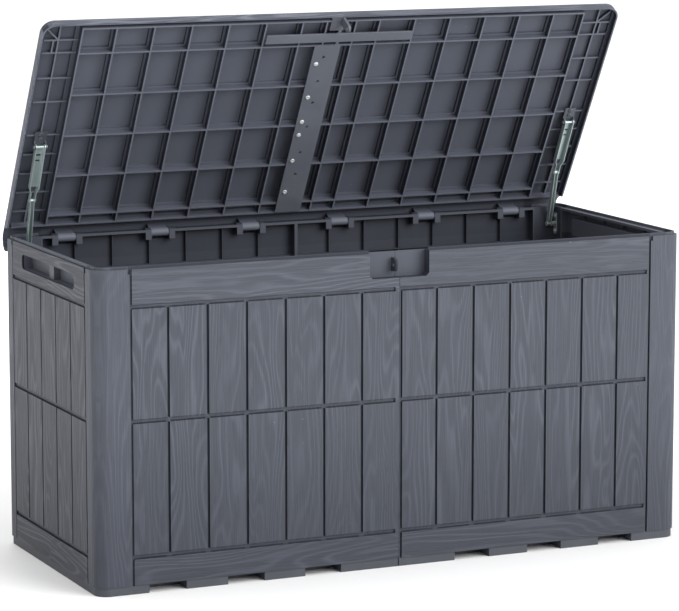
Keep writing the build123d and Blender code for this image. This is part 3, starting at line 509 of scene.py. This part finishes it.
@dataclass(frozen=True)
class ResinFinish(Finish):
    """Moulded resin with pressed wood grain on its outer faces and a plain matt inside, with painted shade
    and painted highlights.
    """

    plain: Colour = (0.071, 0.078, 0.098)
    # Colour of the painted shade in grooves and hollows and towards the floor.
    shade: Colour = (0.007, 0.009, 0.018)
    # Colour of the painted highlight on rib tips and on the lid's edge.
    painted_highlight: Colour = (0.165, 0.179, 0.218)
    nick: Colour = (0.34, 0.36, 0.41)
    # How far the painted highlight lifts the lid's edge between the streaks.
    edge_highlight_floor: float = 0.2
    scuff_gain: float = 0.10
    nick_gain: float = 0.5
    # Painted shade towards the floor: the first value is where it starts, the second how strong it is at the
    # floor.
    ground_shade_top: float = 0.42
    ground_shade_gain: float = 0.41
    streak_gloss: float = 0.08
    specular: float = 0.22
    stipple_share: float = 0.25
    plank_seed: float = 3.37

    def sunk_from(self, depth: float) -> float:
        """How far below a face a groove counts as sunk: a third of its depth."""
        return depth / 3

    def colour(
        self,
        sheet: ShaderSheet,
        effects: SharedEffects,
        place: Socket,
        streak: Socket,
        masks: FaceMasks,
    ) -> Socket:
        """Mixes the resin's colour: grain outside, plain inside, each with painted shade and painted
        highlights, then rubs, nicks and painted shade that darkens towards the floor.

        Args:
            sheet: the material's sheet.
            effects: the shared groups.
            place: object coordinates.
            streak: the grain's streak mask.
            masks: which faces look how.

        Returns:
            The colour's socket.
        """
        soft = sheet.tint(streak, self.dark, self.light)
        # Painted highlight on the lid's edge: its grain is lifted towards the highlight colour, most on the
        # streaks.
        raised = sheet.calc("MULTIPLY", sheet.plus(streak, self.edge_highlight_floor), masks.edge_highlight, clamp=True)
        grained = sheet.tint(masks.groove, sheet.tint(raised, soft, self.painted_highlight), self.shade)
        # Inside: painted shade darkens the hollows, and a painted highlight lightens the rib tips.
        inside = sheet.tint(masks.tip, sheet.tint(masks.hollow, self.plain, self.shade), self.painted_highlight)
        moulded = sheet.tint(masks.outer, inside, grained)
        marks = sheet.use(effects.scuffs, Place=place)
        rubbed = sheet.tint(sheet.times(marks.outputs["Mask"], self.scuff_gain), moulded, self.light)
        nicked = sheet.tint(sheet.times(marks.outputs["Nick"], self.nick_gain), rubbed, self.nick)
        # Painted shade: the colour darkens towards the floor.
        low = sheet.span(sheet.split(place)[2], self.ground_shade_top, 0.0)
        return sheet.tint(sheet.times(low, self.ground_shade_gain), nicked, self.shade)

    def dress(
        self,
        sheet: ShaderSheet,
        shader: bpy.types.Node,
        effects: SharedEffects,
        place: Socket,
        streak: Socket,
        masks: FaceMasks,
    ) -> None:
        """Colours, roughens and presses the resin.

        Args:
            sheet: the material's sheet.
            shader: the Principled shader.
            effects: the shared groups.
            place: object coordinates.
            streak: the grain's streak mask.
            masks: which faces look how.
        """
        sheet.feed(shader.inputs["Base Color"], self.colour(sheet, effects, place, streak, masks))
        gloss = sheet.times(streak, self.streak_gloss)
        sheet.feed(shader.inputs["Roughness"], sheet.minus(self.roughness, gloss))
        shader.inputs["Specular IOR Level"].default_value = self.specular
        stipple = sheet.use(effects.stipple, Place=place).outputs["Height"]
        self.relief(sheet, shader, sheet.pick(masks.outer, sheet.times(stipple, self.stipple_share), streak))


@dataclass(frozen=True)
class PlankResin(ResinFinish):
    """Wall panel: upright planks between level rails."""

    facing: Facing = Facing.FRONT
    pitch: float = 0.076
    shift: float = 0.0
    wall: float = 0.248
    rail_low: float = 0.068
    rail_middle: float = 0.315
    rail_high: float = 0.522
    rail_half: float = 0.0042
    soft_groove_shade: float = 0.22
    rail_break: float = 0.005
    slot_span: Span = (-0.0012, -0.0020)
    lip_span: Span = (0.0026, 0.0034)
    lip_share: float = 0.45
    groove_depth: float = 0.0035
    groove_shade: float = 0.92
    face_slack: float = 0.0005
    seam: float = 0.5245
    seam_line: float = 0.0016
    pocket_depth: float = 0.0205
    pocket_bottom: float = 0.540
    pocket_shade: float = 0.6
    inside_shade: float = 0.5
    row_seed: float = 5.3
    wall_seed: float = 11.7
    half_seed: float = 2.9

    def level_groove(self, sheet: ShaderSheet, offset: Socket, step: Socket) -> Socket:
        """How far painted shade darkens a level groove: a soft band with a dark lower edge, broken where a
        plank ends.

        Args:
            sheet: the material's sheet.
            offset: the height over the groove's middle.
            step: the place along the wall, counted in planks.

        Returns:
            The tone's socket.
        """
        aside = sheet.times(sheet.calc("PINGPONG", step, 0.5), self.pitch)
        # Painted shade: the lower edge is painted nearly black, the upper edge part way, and the band between
        # lightly.
        lower = sheet.span(offset, *self.slot_span)
        upper = sheet.times(sheet.span(offset, *self.lip_span), self.lip_share)
        edge = sheet.times(sheet.above(aside, self.rail_break), sheet.most(lower, upper))
        return sheet.pick(edge, self.soft_groove_shade, self.groove_shade)

    def groove(self, sheet: ShaderSheet, run: Socket, step: Socket, z: Socket) -> Socket:
        """How far painted shade darkens each groove: the upright ones nearly black, the level ones softer.

        Args:
            sheet: the material's sheet.
            run: the place along the wall.
            step: the place along the wall, counted in planks.
            z: the height.

        Returns:
            The tone's socket.
        """
        low = sheet.below(z, (self.rail_low + self.rail_middle) / 2)
        high = sheet.above(z, (self.rail_middle + self.rail_high) / 2)
        line = sheet.pick(low, sheet.pick(high, self.rail_middle, self.rail_high), self.rail_low)
        offset = sheet.minus(z, line)
        reach = sheet.size(run)
        beside = sheet.above(reach, self.seam)
        close = sheet.above(reach, self.seam + self.seam_line)
        upright = sheet.pick(beside, self.groove_shade, sheet.pick(close, self.soft_groove_shade, self.groove_shade))
        band = sheet.times(sheet.below(sheet.size(offset), self.rail_half), sheet.minus(1.0, beside))
        return sheet.pick(band, upright, self.level_groove(sheet, offset, step))

    def grain(
        self, sheet: ShaderSheet, effects: SharedEffects, run: Socket, depth: Socket, step: Socket, z: Socket
    ) -> Socket:
        """Grain up each plank and along each rail, with a pattern of its own on each.

        Args:
            sheet: the material's sheet.
            effects: the shared groups.
            run: the place along the wall.
            depth: the place through the wall.
            step: the place along the wall, counted in planks.
            z: the height.

        Returns:
            The streak mask's socket.
        """
        rail = sheet.plus(sheet.above(z, self.rail_high), sheet.below(z, self.rail_low))
        upper = sheet.above(z, self.rail_middle)
        row = sheet.plus(sheet.times(upper, self.row_seed), sheet.times(sheet.sign(depth), self.wall_seed))
        plank = sheet.plus(sheet.times(sheet.calc("FLOOR", step), self.plank_seed), row)
        half = sheet.plus(row, sheet.times(sheet.sign(run), self.half_seed))
        placed = sheet.use(
            effects.grain,
            Along=sheet.pick(rail, z, run),
            Across=sheet.pick(rail, run, z),
            Seed=sheet.pick(rail, plank, half),
        )
        return placed.outputs["Streak"]

    def material(self, effects: SharedEffects) -> bpy.types.Material:
        """Makes the panel's material.

        Args:
            effects: the shared groups.

        Returns:
            The material.
        """
        material, sheet, shader = self.begin()
        place = sheet.node("ShaderNodeTexCoord").outputs["Object"]
        x, y, z = sheet.split(place)
        run, depth = (x, y) if self.facing is Facing.FRONT else (y, x)
        step = sheet.plus(sheet.calc("DIVIDE", run, self.pitch), self.shift)
        reach = sheet.size(depth)
        # Painted shade: the grooves are painted dark, nearly black for upright ones and softer for level
        # ones.
        sunk = sheet.below(reach, self.wall - self.sunk_from(self.groove_depth))
        # Painted shade darkens the inner faces, by one amount above pocket_bottom and another below it.
        tone = sheet.pick(sheet.above(z, self.pocket_bottom), self.inside_shade, self.pocket_shade)
        masks = FaceMasks(
            outer=sheet.above(reach, self.wall - self.groove_depth - self.face_slack),
            groove=sheet.times(sunk, self.groove(sheet, run, step, z)),
            hollow=sheet.times(sheet.above(reach, self.wall - self.pocket_depth), tone),
        )
        streak = self.grain(sheet, effects, run, depth, step, z)
        self.dress(sheet, shader, effects, place, streak, masks)
        return material


@dataclass(frozen=True)
class PostResin(ResinFinish):
    """Corner post: upright grain running round the corner, and a plain inside darkened by painted shade."""

    wall_x: float = 0.5935
    wall_y: float = 0.2465
    corner: float = 0.805
    inside_shade: float = 0.3
    side_seed: float = 4.1

    def material(self, effects: SharedEffects) -> bpy.types.Material:
        """Makes the post's material.

        Args:
            effects: the shared groups.

        Returns:
            The material.
        """
        material, sheet, shader = self.begin()
        place = sheet.node("ShaderNodeTexCoord").outputs["Object"]
        x, y, z = sheet.split(place)
        seed = sheet.plus(sheet.times(sheet.sign(x), self.side_seed), sheet.sign(y))
        placed = sheet.use(effects.grain, Along=z, Across=sheet.plus(x, y), Seed=seed)
        reach_x, reach_y = sheet.size(x), sheet.size(y)
        flat = sheet.most(sheet.above(reach_x, self.wall_x), sheet.above(reach_y, self.wall_y))
        rounded = sheet.above(sheet.plus(reach_x, reach_y), self.corner)
        # Painted shade darkens the post's inside faces.
        masks = FaceMasks(outer=sheet.most(flat, rounded), hollow=self.inside_shade)
        self.dress(sheet, shader, effects, place, placed.outputs["Streak"], masks)
        return material


@dataclass(frozen=True)
class LidResin(ResinFinish):
    """Lid: grain along the planks on top, level grain on the edge with a painted highlight, plain resin on
    the ribs below with painted shade on their sides and painted highlights on their tips.

    Heights and places are those of the shut lid.
    """

    turn: LidTurn = LidTurn.from_frame()
    under: float = 0.6086
    top: float = 0.6115
    border: float = 0.517
    front_row: float = -0.1825
    pitch: float = 0.0743
    first: float = 0.0795
    groove_depth: float = 0.0025
    edge: float = 0.5925
    front: float = -0.2465
    skirt_stretch: float = 2.0
    rib_tip: float = 0.5921
    rib_root: float = 0.6031
    ridge_top: float = 0.6039
    ridge_root: float = 0.6081
    band: float = 0.5186
    band_tip: Span = (0.6014, 0.6026)
    groove_shade: float = 0.9
    edge_highlight_share: float = 0.9
    side_flank_shade: float = 0.75
    level_flank_shade: float = 0.12
    band_floor_shade: float = 0.3
    tip_highlight_share: float = 0.5
    side_facing: float = 0.6

    def shut(self, sheet: ShaderSheet, place: Socket) -> Socket:
        """Turns a place on the open lid back to the shut lid, so the pattern follows the lid's own axes.

        Args:
            sheet: the material's sheet.
            place: object coordinates.

        Returns:
            The turned coordinates.
        """
        back = Matrix.Rotation(self.turn.angle, 3, "X")
        hinge = Vector((0.0, self.turn.y, self.turn.z))
        mapping = sheet.node("ShaderNodeMapping", vector_type="POINT")
        mapping.inputs["Rotation"].default_value = (self.turn.angle, 0.0, 0.0)
        mapping.inputs["Location"].default_value = hinge - back @ hinge
        sheet.feed(mapping.inputs["Vector"], place)
        return mapping.outputs["Vector"]

    def ribs(self, sheet: ShaderSheet, reach: Socket, z: Socket, sideways: Socket) -> tuple[Socket, Socket]:
        """Masks of the rib grid: painted shade on the rib sides and the end band's floor, darkest on sides
        that look left or right, and a painted highlight on the tips.

        Args:
            sheet: the material's sheet.
            reach: the distance from the lid's middle.
            z: the height.
            sideways: 1 on faces that look to the left or the right.

        Returns:
            How far painted shade darkens the sides, and how far a painted highlight lightens the tips.
        """
        in_band = sheet.above(reach, self.band)
        flank = sheet.between(z, self.rib_tip, self.rib_root)
        ridge = sheet.between(z, self.ridge_top, self.ridge_root)
        # Painted shade: rib sides that look left or right are painted much darker than level ones.
        side = sheet.times(sheet.plus(flank, ridge), sheet.pick(sideways, self.level_flank_shade, self.side_flank_shade))
        deep = sheet.times(in_band, sheet.above(z, self.band_tip[1]))
        painted_rib_shade = sheet.most(side, sheet.times(deep, self.band_floor_shade))
        # Painted highlight: the rib tips and the end band's tips are painted lighter.
        tip = sheet.most(sheet.below(z, self.rib_tip), sheet.times(in_band, sheet.between(z, *self.band_tip)))
        return painted_rib_shade, sheet.times(tip, self.tip_highlight_share)

    def grain(
        self,
        sheet: ShaderSheet,
        effects: SharedEffects,
        place: tuple[Socket, ...],
        reach: Socket,
        sunk: Socket,
    ) -> Socket:
        """Grain along each plank, and level grain on the front rail and round the edge.

        Args:
            sheet: the material's sheet.
            effects: the shared groups.
            place: the three coordinates on the shut lid.
            reach: the distance from the lid's middle.
            sunk: 1 below the top face, which holds for the edge.

        Returns:
            The streak mask's socket.
        """
        x, y, z = place
        plank = sheet.calc("FLOOR", sheet.calc("DIVIDE", sheet.minus(x, self.first), self.pitch))
        rail = sheet.times(sheet.below(reach, self.border), sheet.below(y, self.front_row))
        level = sheet.most(rail, sunk)
        run = sheet.plus(x, sheet.times(sheet.above(reach, self.edge), y))
        drop = sheet.times(sheet.plus(y, z), sheet.pick(sunk, 1.0, self.skirt_stretch))
        placed = sheet.use(
            effects.grain,
            Along=sheet.pick(level, y, run),
            Across=sheet.pick(level, x, drop),
            Seed=sheet.pick(level, sheet.times(plank, self.plank_seed), sheet.sign(x)),
        )
        return placed.outputs["Streak"]

    def material(self, effects: SharedEffects) -> bpy.types.Material:
        """Makes the lid's material.

        Args:
            effects: the shared groups.

        Returns:
            The material.
        """
        material, sheet, shader = self.begin()
        source = sheet.node("ShaderNodeTexCoord")
        place = source.outputs["Object"]
        x, y, z = sheet.split(self.shut(sheet, place))
        reach = sheet.size(x)
        # Painted shade darkens the plank grooves on the lid's top.
        sunk = sheet.below(z, self.top - self.sunk_from(self.groove_depth))
        beside = sheet.most(sheet.above(reach, self.edge), sheet.below(y, self.front))
        # Faces that look left or right get the darker painted shade on the rib sides.
        sideways = sheet.above(sheet.size(sheet.split(source.outputs["Normal"])[0]), self.side_facing)
        painted_rib_shade, tip = self.ribs(sheet, reach, z, sideways)
        # Painted shade in the grooves and on the rib sides; painted highlights on the rib tips and on the
        # edge.
        masks = FaceMasks(
            outer=sheet.most(sheet.above(z, self.under), beside),
            groove=sheet.times(sunk, sheet.times(sheet.minus(1.0, beside), self.groove_shade)),
            hollow=painted_rib_shade,
            tip=tip,
            edge_highlight=sheet.times(beside, self.edge_highlight_share),
        )
        streak = self.grain(sheet, effects, (x, y, z), reach, sunk)
        self.dress(sheet, shader, effects, place, streak, masks)
        return material


@dataclass(frozen=True)
class RubbedFinish(Finish):
    """Smooth resin, paint or plating with faint clouds and rubs, which are rougher."""

    metallic: float = 0.0
    rub: float = 0.14

    def material(self, effects: SharedEffects) -> bpy.types.Material:
        """Makes the material.

        Args:
            effects: the shared groups.

        Returns:
            The material.
        """
        material, sheet, shader = self.begin()
        place = sheet.node("ShaderNodeTexCoord").outputs["Object"]
        scuff = sheet.use(effects.scuffs, Place=place).outputs["Mask"]
        sheet.feed(shader.inputs["Base Color"], sheet.tint(scuff, self.dark, self.light))
        sheet.feed(shader.inputs["Roughness"], sheet.pick(scuff, self.roughness, self.roughness + self.rub))
        shader.inputs["Metallic"].default_value = self.metallic
        self.relief(sheet, shader, sheet.use(effects.stipple, Place=place).outputs["Height"])
        return material


AnyFinish = Union[PlankResin, PostResin, LidResin, RubbedFinish]


@dataclass(frozen=True)
class Dresser:
    """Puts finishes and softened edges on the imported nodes."""

    effects: SharedEffects
    edge_segments: int = 2
    edge_angle: float = math.radians(35.0)
    weld: float = 0.00001

    def soften(self, node: bpy.types.Object, width: float) -> None:
        """Rounds a node's sharp edges a little, as a mould or a press leaves them.

        Args:
            node: the CAD node.
            width: how wide the rounding is.
        """
        weld = node.modifiers.new("Joined corners", "WELD")
        weld.merge_threshold = self.weld
        bevel = node.modifiers.new("Softened edges", "BEVEL")
        bevel.width = width
        bevel.segments = self.edge_segments
        bevel.limit_method = "ANGLE"
        bevel.angle_limit = self.edge_angle
        bevel.use_clamp_overlap = True
        bevel.harden_normals = False
        shading = node.modifiers.new("Even shading", "WEIGHTED_NORMAL")
        shading.mode = "FACE_AREA"
        shading.keep_sharp = True

    def wear(self, names: Sequence[str], finish: AnyFinish, edge: float) -> None:
        """Gives nodes a finish.

        Args:
            names: the nodes' names.
            finish: the finish.
            edge: how wide their edges are rounded, or 0 for none.
        """
        material = finish.material(self.effects)
        for name in names:
            node = frame["nodes"][name]
            node.data.materials.clear()
            node.data.materials.append(material)
            if edge:
                self.soften(node, edge)
            LOG.info("%s wears %s", name, material.name)


@dataclass(frozen=True)
class Body:
    """The box: walls, posts, base and the strips that join them."""

    dresser: Dresser
    edge: float = 0.0007
    planks: PlankResin = PlankResin(
        "Front planks", (0.0585, 0.0645, 0.081), (0.098, 0.107, 0.131), 0.5, 0.0004
    )
    # The end walls wear a darker copy of the front resin: painted shade on the end walls.
    ends: PlankResin = PlankResin(
        "End planks",
        (0.038, 0.042, 0.053),
        (0.106, 0.115, 0.142),
        0.5,
        0.0004,
        facing=Facing.END,
        pitch=0.080,
        shift=0.5,
        wall=0.595,
        soft_groove_shade=0.08,
        rail_break=-1.0,
        seam=0.1955,
        pocket_shade=0.06,
        plain=(0.110, 0.120, 0.146),
    )
    posts: PostResin = PostResin("Corner posts", (0.067, 0.073, 0.091), (0.105, 0.115, 0.141), 0.5, 0.0004)
    # The base wears a darker copy of the walls' resin: painted shade low on the box.
    base: RubbedFinish = RubbedFinish(
        "Base resin", (0.041, 0.046, 0.058), (0.056, 0.062, 0.077), 0.55, 0.0001, rub=0.1
    )

    def dress(self) -> None:
        """Dresses every node of the box."""
        walls = [f"{wall}_panel_{side}" for wall in ("front", "back") for side in SIDES]
        self.dresser.wear(walls, self.planks, self.edge)
        self.dresser.wear([f"end_panel_{side}" for side in SIDES], self.ends, self.edge)
        corners = [f"post_{end}_{side}" for end in ("front", "rear") for side in SIDES]
        self.dresser.wear(corners, self.posts, self.edge)
        hidden = ["base_clips", "centre_strip_front", "centre_strip_back"]
        self.dresser.wear([f"base_{side}" for side in SIDES] + hidden, self.base, self.edge)


@dataclass(frozen=True)
class Lid:
    """The lid and what is screwed below it."""

    dresser: Dresser
    edge: float = 0.0007
    resin: LidResin = LidResin(
        "Lid resin", (0.050, 0.055, 0.070), (0.118, 0.129, 0.158), 0.5, 0.0004, plain=(0.099, 0.108, 0.135)
    )
    strip: RubbedFinish = RubbedFinish(
        "Painted strip", (0.112, 0.122, 0.148), (0.144, 0.155, 0.182), 0.42, 0.00005
    )
    latch: RubbedFinish = RubbedFinish(
        "Latch resin", (0.085, 0.093, 0.115), (0.115, 0.125, 0.15), 0.5, 0.0001, rub=0.1
    )

    def dress(self) -> None:
        """Dresses every node of the lid."""
        self.dresser.wear([f"lid_{side}" for side in SIDES], self.resin, self.edge)
        self.dresser.wear(["lid_joining_strip", "lid_crossbar"], self.strip, self.edge)
        self.dresser.wear(["lid_latch_plate"], self.latch, self.edge)


@dataclass(frozen=True)
class Stays:
    """The folding stays and the hinge pins."""

    dresser: Dresser
    edge: float = 0.0003
    links: tuple[str, ...] = ("lid_pin", "upper_link", "knee_rivets", "lower_link", "box_bracket", "box_pin")
    plated: RubbedFinish = RubbedFinish(
        "Plated steel", (0.42, 0.50, 0.50), (0.63, 0.70, 0.70), 0.3, 0.00003, metallic=0.45
    )
    bracket: RubbedFinish = RubbedFinish(
        "Dark bracket", (0.085, 0.093, 0.114), (0.13, 0.14, 0.165), 0.4, 0.00003, metallic=0.4
    )
    pins: RubbedFinish = RubbedFinish(
        "Bright pins", (0.62, 0.64, 0.65), (0.80, 0.81, 0.82), 0.22, 0.00002, metallic=1.0
    )

    def dress(self) -> None:
        """Dresses every metal node."""
        steel = [f"stay_{link}_{side}" for link in self.links for side in SIDES]
        self.dresser.wear(steel, self.plated, self.edge)
        self.dresser.wear([f"stay_lid_bracket_{side}" for side in SIDES], self.bracket, self.edge)
        self.dresser.wear([f"hinge_pins_{side}" for side in SIDES], self.pins, 0.0)


@dataclass(frozen=True)
class Screws:
    """Pan-head screws with a cross recess, which stand for the plain-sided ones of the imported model."""

    effects: SharedEffects
    turn: LidTurn = LidTurn.from_frame()
    zinc: RubbedFinish = RubbedFinish(
        "Screw zinc", (0.80, 0.82, 0.83), (0.93, 0.94, 0.95), 0.25, 0.00002, metallic=0.5
    )
    dark: RubbedFinish = RubbedFinish(
        "Dark screws", (0.10, 0.108, 0.13), (0.15, 0.16, 0.19), 0.35, 0.00002, metallic=0.5
    )
    head_radius: float = 0.0045
    head_height: float = 0.0020
    rim_drop: float = 0.4
    dome_power: int = 4
    shank_radius: float = 0.0018
    shank_depth: float = 0.006
    pole_share: float = 0.0001
    foot_radius: float = 0.0001
    slot_width: float = 0.0011
    slot_reach: float = 0.0024
    slot_depth: float = 0.0011
    slot_side_slope: float = 3.0
    slot_end_slope: float = 4.0
    rings: int = 22
    spokes: int = 48
    crease: float = math.radians(40.0)
    strip_x: float = -0.035
    strip_z: float = 0.5895
    front: float = -0.248
    strip_setbacks: tuple[float, ...] = (0.106, 0.183, 0.240, 0.271, 0.332, 0.407)
    stay_x: float = 0.557
    bracket_z: float = 0.600
    bracket_y: tuple[float, ...] = (0.013, 0.002)
    post_x: float = 0.571
    post_y: float = 0.219
    post_z: tuple[float, ...] = (0.541, 0.571)

    def surface(self) -> tuple[np.ndarray, np.ndarray]:
        """One screw about the Z axis, head downwards, with its seat at the origin.

        The head's height falls from the middle to the rim with a power of the radius. The recess is a
        cross: its depth fades out across each arm's width and towards the arm's end. Then come the rim, the
        seat and the shank. Small flat caps close the pole and the foot.

        Returns:
            The points of a grid of rings by spokes, and its four-cornered faces.
        """
        cap = np.linspace(self.pole_share, 1.0, self.rings) * self.head_radius
        turn = np.linspace(0.0, math.tau, self.spokes, endpoint=False)
        r, t = np.meshgrid(cap, turn, indexing="ij")
        x, y = r * np.cos(t), r * np.sin(t)
        near = np.minimum(np.abs(x), np.abs(y)) / (self.slot_width / 2)
        far = np.maximum(np.abs(x), np.abs(y)) / self.slot_reach
        across = np.clip(self.slot_side_slope * (1.0 - near), 0.0, 1.0)
        outward = np.clip(self.slot_end_slope * (1.0 - far), 0.0, 1.0)
        dome = self.head_height * (1.0 - self.rim_drop * (r / self.head_radius) ** self.dome_power)
        head = np.stack([x, y, self.slot_depth * (across * outward) - dome], axis=-1)
        lower_r = np.array([self.head_radius, self.shank_radius, self.shank_radius, self.foot_radius])
        lower_z = np.array([0.0, 0.0, self.shank_depth, self.shank_depth])
        r, t = np.meshgrid(lower_r, turn, indexing="ij")
        level = np.repeat(lower_z[:, None], self.spokes, axis=1)
        shank = np.stack([r * np.cos(t), r * np.sin(t), level], axis=-1)
        rows = np.arange(self.rings + len(lower_r) - 1)
        ring, spoke = np.meshgrid(rows, np.arange(self.spokes), indexing="ij")
        following = (spoke + 1) % self.spokes
        corners = [ring * self.spokes + spoke, ring * self.spokes + following]
        corners += [(ring + 1) * self.spokes + following, (ring + 1) * self.spokes + spoke]
        return np.concatenate([head, shank]).reshape(-1, 3), np.stack(corners, axis=-1).reshape(-1, 4)

    def piece(self, name: str, body: str, places: Sequence[Matrix], material: bpy.types.Material) -> None:
        """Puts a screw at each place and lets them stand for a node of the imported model.

        Args:
            name: the node's name.
            body: the body that the screws ride on.
            places: each screw's turn and place.
            material: the screws' material.
        """
        points, quads = self.surface()
        turned = [points @ np.array(place.to_3x3()).T + np.array(place.translation) for place in places]
        starts = np.arange(len(places)) * len(points)
        faces = (quads[None] + starts[:, None, None]).reshape(-1, 4)
        ends = np.arange(self.spokes)
        caps = np.stack([ends[::-1], ends + len(points) - self.spokes])
        caps = (caps[None] + starts[:, None, None]).reshape(-1, self.spokes)
        mesh = bpy.data.meshes.new(name + "_visual")
        mesh.from_pydata(np.concatenate(turned).tolist(), [], faces.tolist() + caps.tolist())
        mesh.polygons.foreach_set("use_smooth", [True] * len(mesh.polygons))
        mesh.set_sharp_from_angle(angle=self.crease)
        mesh.materials.append(material)
        made = bpy.data.objects.new(name + "_visual", mesh)
        bpy.context.scene.collection.objects.link(made)
        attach(made, body)
        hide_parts(name)
        LOG.info("%s shows %d screws", name, len(places))

    def build(self) -> None:
        """Makes the screws of the strip, the lid brackets and the post brackets."""
        zinc = self.zinc.material(self.effects)
        dark = self.dark.material(self.effects)
        opened = self.turn.opened()
        strip = [
            opened @ Matrix.Translation((self.strip_x, self.front + setback, self.strip_z))
            for setback in self.strip_setbacks
        ]
        lid = [
            opened @ Matrix.Translation((side * self.stay_x, y, self.bracket_z))
            for side in (-1, 1)
            for y in self.bracket_y
        ]
        outward = {side: Matrix.Rotation(side * math.pi / 2, 4, "Y") for side in (-1, 1)}
        post = [
            Matrix.Translation((side * self.post_x, self.post_y, z)) @ outward[side]
            for side in (-1, 1)
            for z in self.post_z
        ]
        self.piece("lid_strip_screws", "lid", strip, zinc)
        self.piece("stay_lid_screws", "lid", lid, dark)
        self.piece("stay_box_screws", "box", post, zinc)


@dataclass(frozen=True)
class SoftLamp:
    """Square soft light turned to a target."""

    name: str
    place: Place
    target: Place
    size: float
    watts: float

    def build(self) -> None:
        """Makes the light."""
        data = bpy.data.lights.new(self.name, "AREA")
        data.shape = "SQUARE"
        data.size = self.size
        data.energy = self.watts
        lamp = bpy.data.objects.new(self.name, data)
        lamp.location = self.place
        lamp.rotation_euler = (Vector(self.target) - Vector(self.place)).to_track_quat("-Z", "Y").to_euler()
        bpy.context.scene.collection.objects.link(lamp)


@dataclass(frozen=True)
class BroadLight:
    """Broad distant light, alike over the whole floor. Toward is the direction to the light."""

    name: str
    toward: Place
    spread: float
    strength: float

    def build(self) -> None:
        """Makes the light."""
        data = bpy.data.lights.new(self.name, "SUN")
        data.energy = self.strength
        data.angle = self.spread
        lamp = bpy.data.objects.new(self.name, data)
        lamp.location = self.toward
        lamp.rotation_euler = (-Vector(self.toward)).to_track_quat("-Z", "Y").to_euler()
        bpy.context.scene.collection.objects.link(lamp)


@dataclass(frozen=True)
class Studio:
    """Floor, light and camera."""

    camera_place: Place = (-2.52895, -5.56096, 1.42351)
    yaw: float = math.radians(24.378)
    pitch: float = math.radians(9.005)
    focal_pixels: float = 3244.5
    image_width: int = 679
    sensor: float = 36.0
    view_reach: float = 100.0
    floor_radius: float = 60.0
    floor_middle: float = 0.02
    floor_rings: int = 24
    floor_spokes: int = 72
    floor_colour: Colour = (0.95, 0.95, 0.95)
    floor_roughness: float = 0.8
    floor_specular: float = 0.1
    surround: float = 0.68
    lights: tuple[Union[BroadLight, SoftLamp], ...] = (
        BroadLight("Key light", (0.511, -0.730, 0.454), math.radians(45.0), 2.4),
        BroadLight("Top light", (-0.25, -0.1, 1.0), math.radians(60.0), 0.8),
        SoftLamp("Left fill", (-4.2, 0.2, 2.0), (-0.7, 0.0, 0.3), 2.0, 10.0),
        SoftLamp("Right fill", (2.4, -2.4, 1.0), (0.5, -0.25, 0.3), 1.5, 16.0),
        SoftLamp("Back fill", (1.0, 5.0, 2.2), (0.0, 0.2, 0.4), 2.5, 90.0),
    )

    def floor_material(self) -> bpy.types.Material:
        """Makes the floor's plain pale material.

        Returns:
            The material.
        """
        material = bpy.data.materials.new("Pale floor")
        material.use_nodes = True
        shader = material.node_tree.nodes["Principled BSDF"]
        shader.inputs["Base Color"].default_value = (*self.floor_colour, 1.0)
        shader.inputs["Roughness"].default_value = self.floor_roughness
        shader.inputs["Specular IOR Level"].default_value = self.floor_specular
        return material

    def floor(self) -> None:
        """Pale round floor: a disc given by radius and turn, on a polar grid."""
        radius = np.geomspace(self.floor_middle, self.floor_radius, self.floor_rings)
        turn = np.linspace(0.0, math.tau, self.floor_spokes, endpoint=False)
        r, t = np.meshgrid(radius, turn, indexing="ij")
        points = np.stack([r * np.cos(t), r * np.sin(t), np.zeros_like(r)], axis=-1).reshape(-1, 3)
        rows = np.arange(self.floor_rings - 1)
        ring, spoke = np.meshgrid(rows, np.arange(self.floor_spokes), indexing="ij")
        following = (spoke + 1) % self.floor_spokes
        corners = [ring * self.floor_spokes + spoke, (ring + 1) * self.floor_spokes + spoke]
        corners += [(ring + 1) * self.floor_spokes + following, ring * self.floor_spokes + following]
        quads = np.stack(corners, axis=-1).reshape(-1, 4)
        mesh = bpy.data.meshes.new("studio_floor")
        mesh.from_pydata(points.tolist(), [], quads.tolist() + [np.arange(self.floor_spokes).tolist()])
        mesh.materials.append(self.floor_material())
        floor = bpy.data.objects.new("studio_floor", mesh)
        bpy.context.scene.collection.objects.link(floor)

    def light(self) -> None:
        """Even surround, broad light from the upper right and from above, and soft fills round the box."""
        scene = bpy.context.scene
        scene.world = bpy.data.worlds.new("Studio")
        scene.world.use_nodes = True
        background = scene.world.node_tree.nodes["Background"]
        background.inputs["Color"].default_value = (1.0, 1.0, 1.0, 1.0)
        background.inputs["Strength"].default_value = self.surround
        scene.view_settings.view_transform = "Standard"
        for light in self.lights:
            light.build()

    def camera(self) -> None:
        """Camera at the photograph's angle."""
        data = bpy.data.cameras.new("Photo camera")
        data.sensor_fit = "HORIZONTAL"
        data.sensor_width = self.sensor
        data.lens = self.sensor * self.focal_pixels / self.image_width
        data.clip_end = self.view_reach
        camera = bpy.data.objects.new("Photo camera", data)
        camera.location = self.camera_place
        camera.rotation_euler = (math.pi / 2 - self.pitch, 0.0, -self.yaw)
        bpy.context.scene.collection.objects.link(camera)
        bpy.context.scene.camera = camera

    def build(self) -> None:
        """Sets up the whole studio."""
        self.floor()
        self.light()
        self.camera()
        LOG.info("studio has %d lights", len(self.lights))


def main() -> None:
    """Builds the looks in order: box, lid, stays, screws, studio."""
    logging.basicConfig(level=logging.INFO)
    effects = SharedEffects()
    dresser = Dresser(effects)
    Body(dresser).dress()
    Lid(dresser).dress()
    Stays(dresser).dress()
    Screws(effects).build()
    Studio().build()


if __name__ == "__main__":
    main()
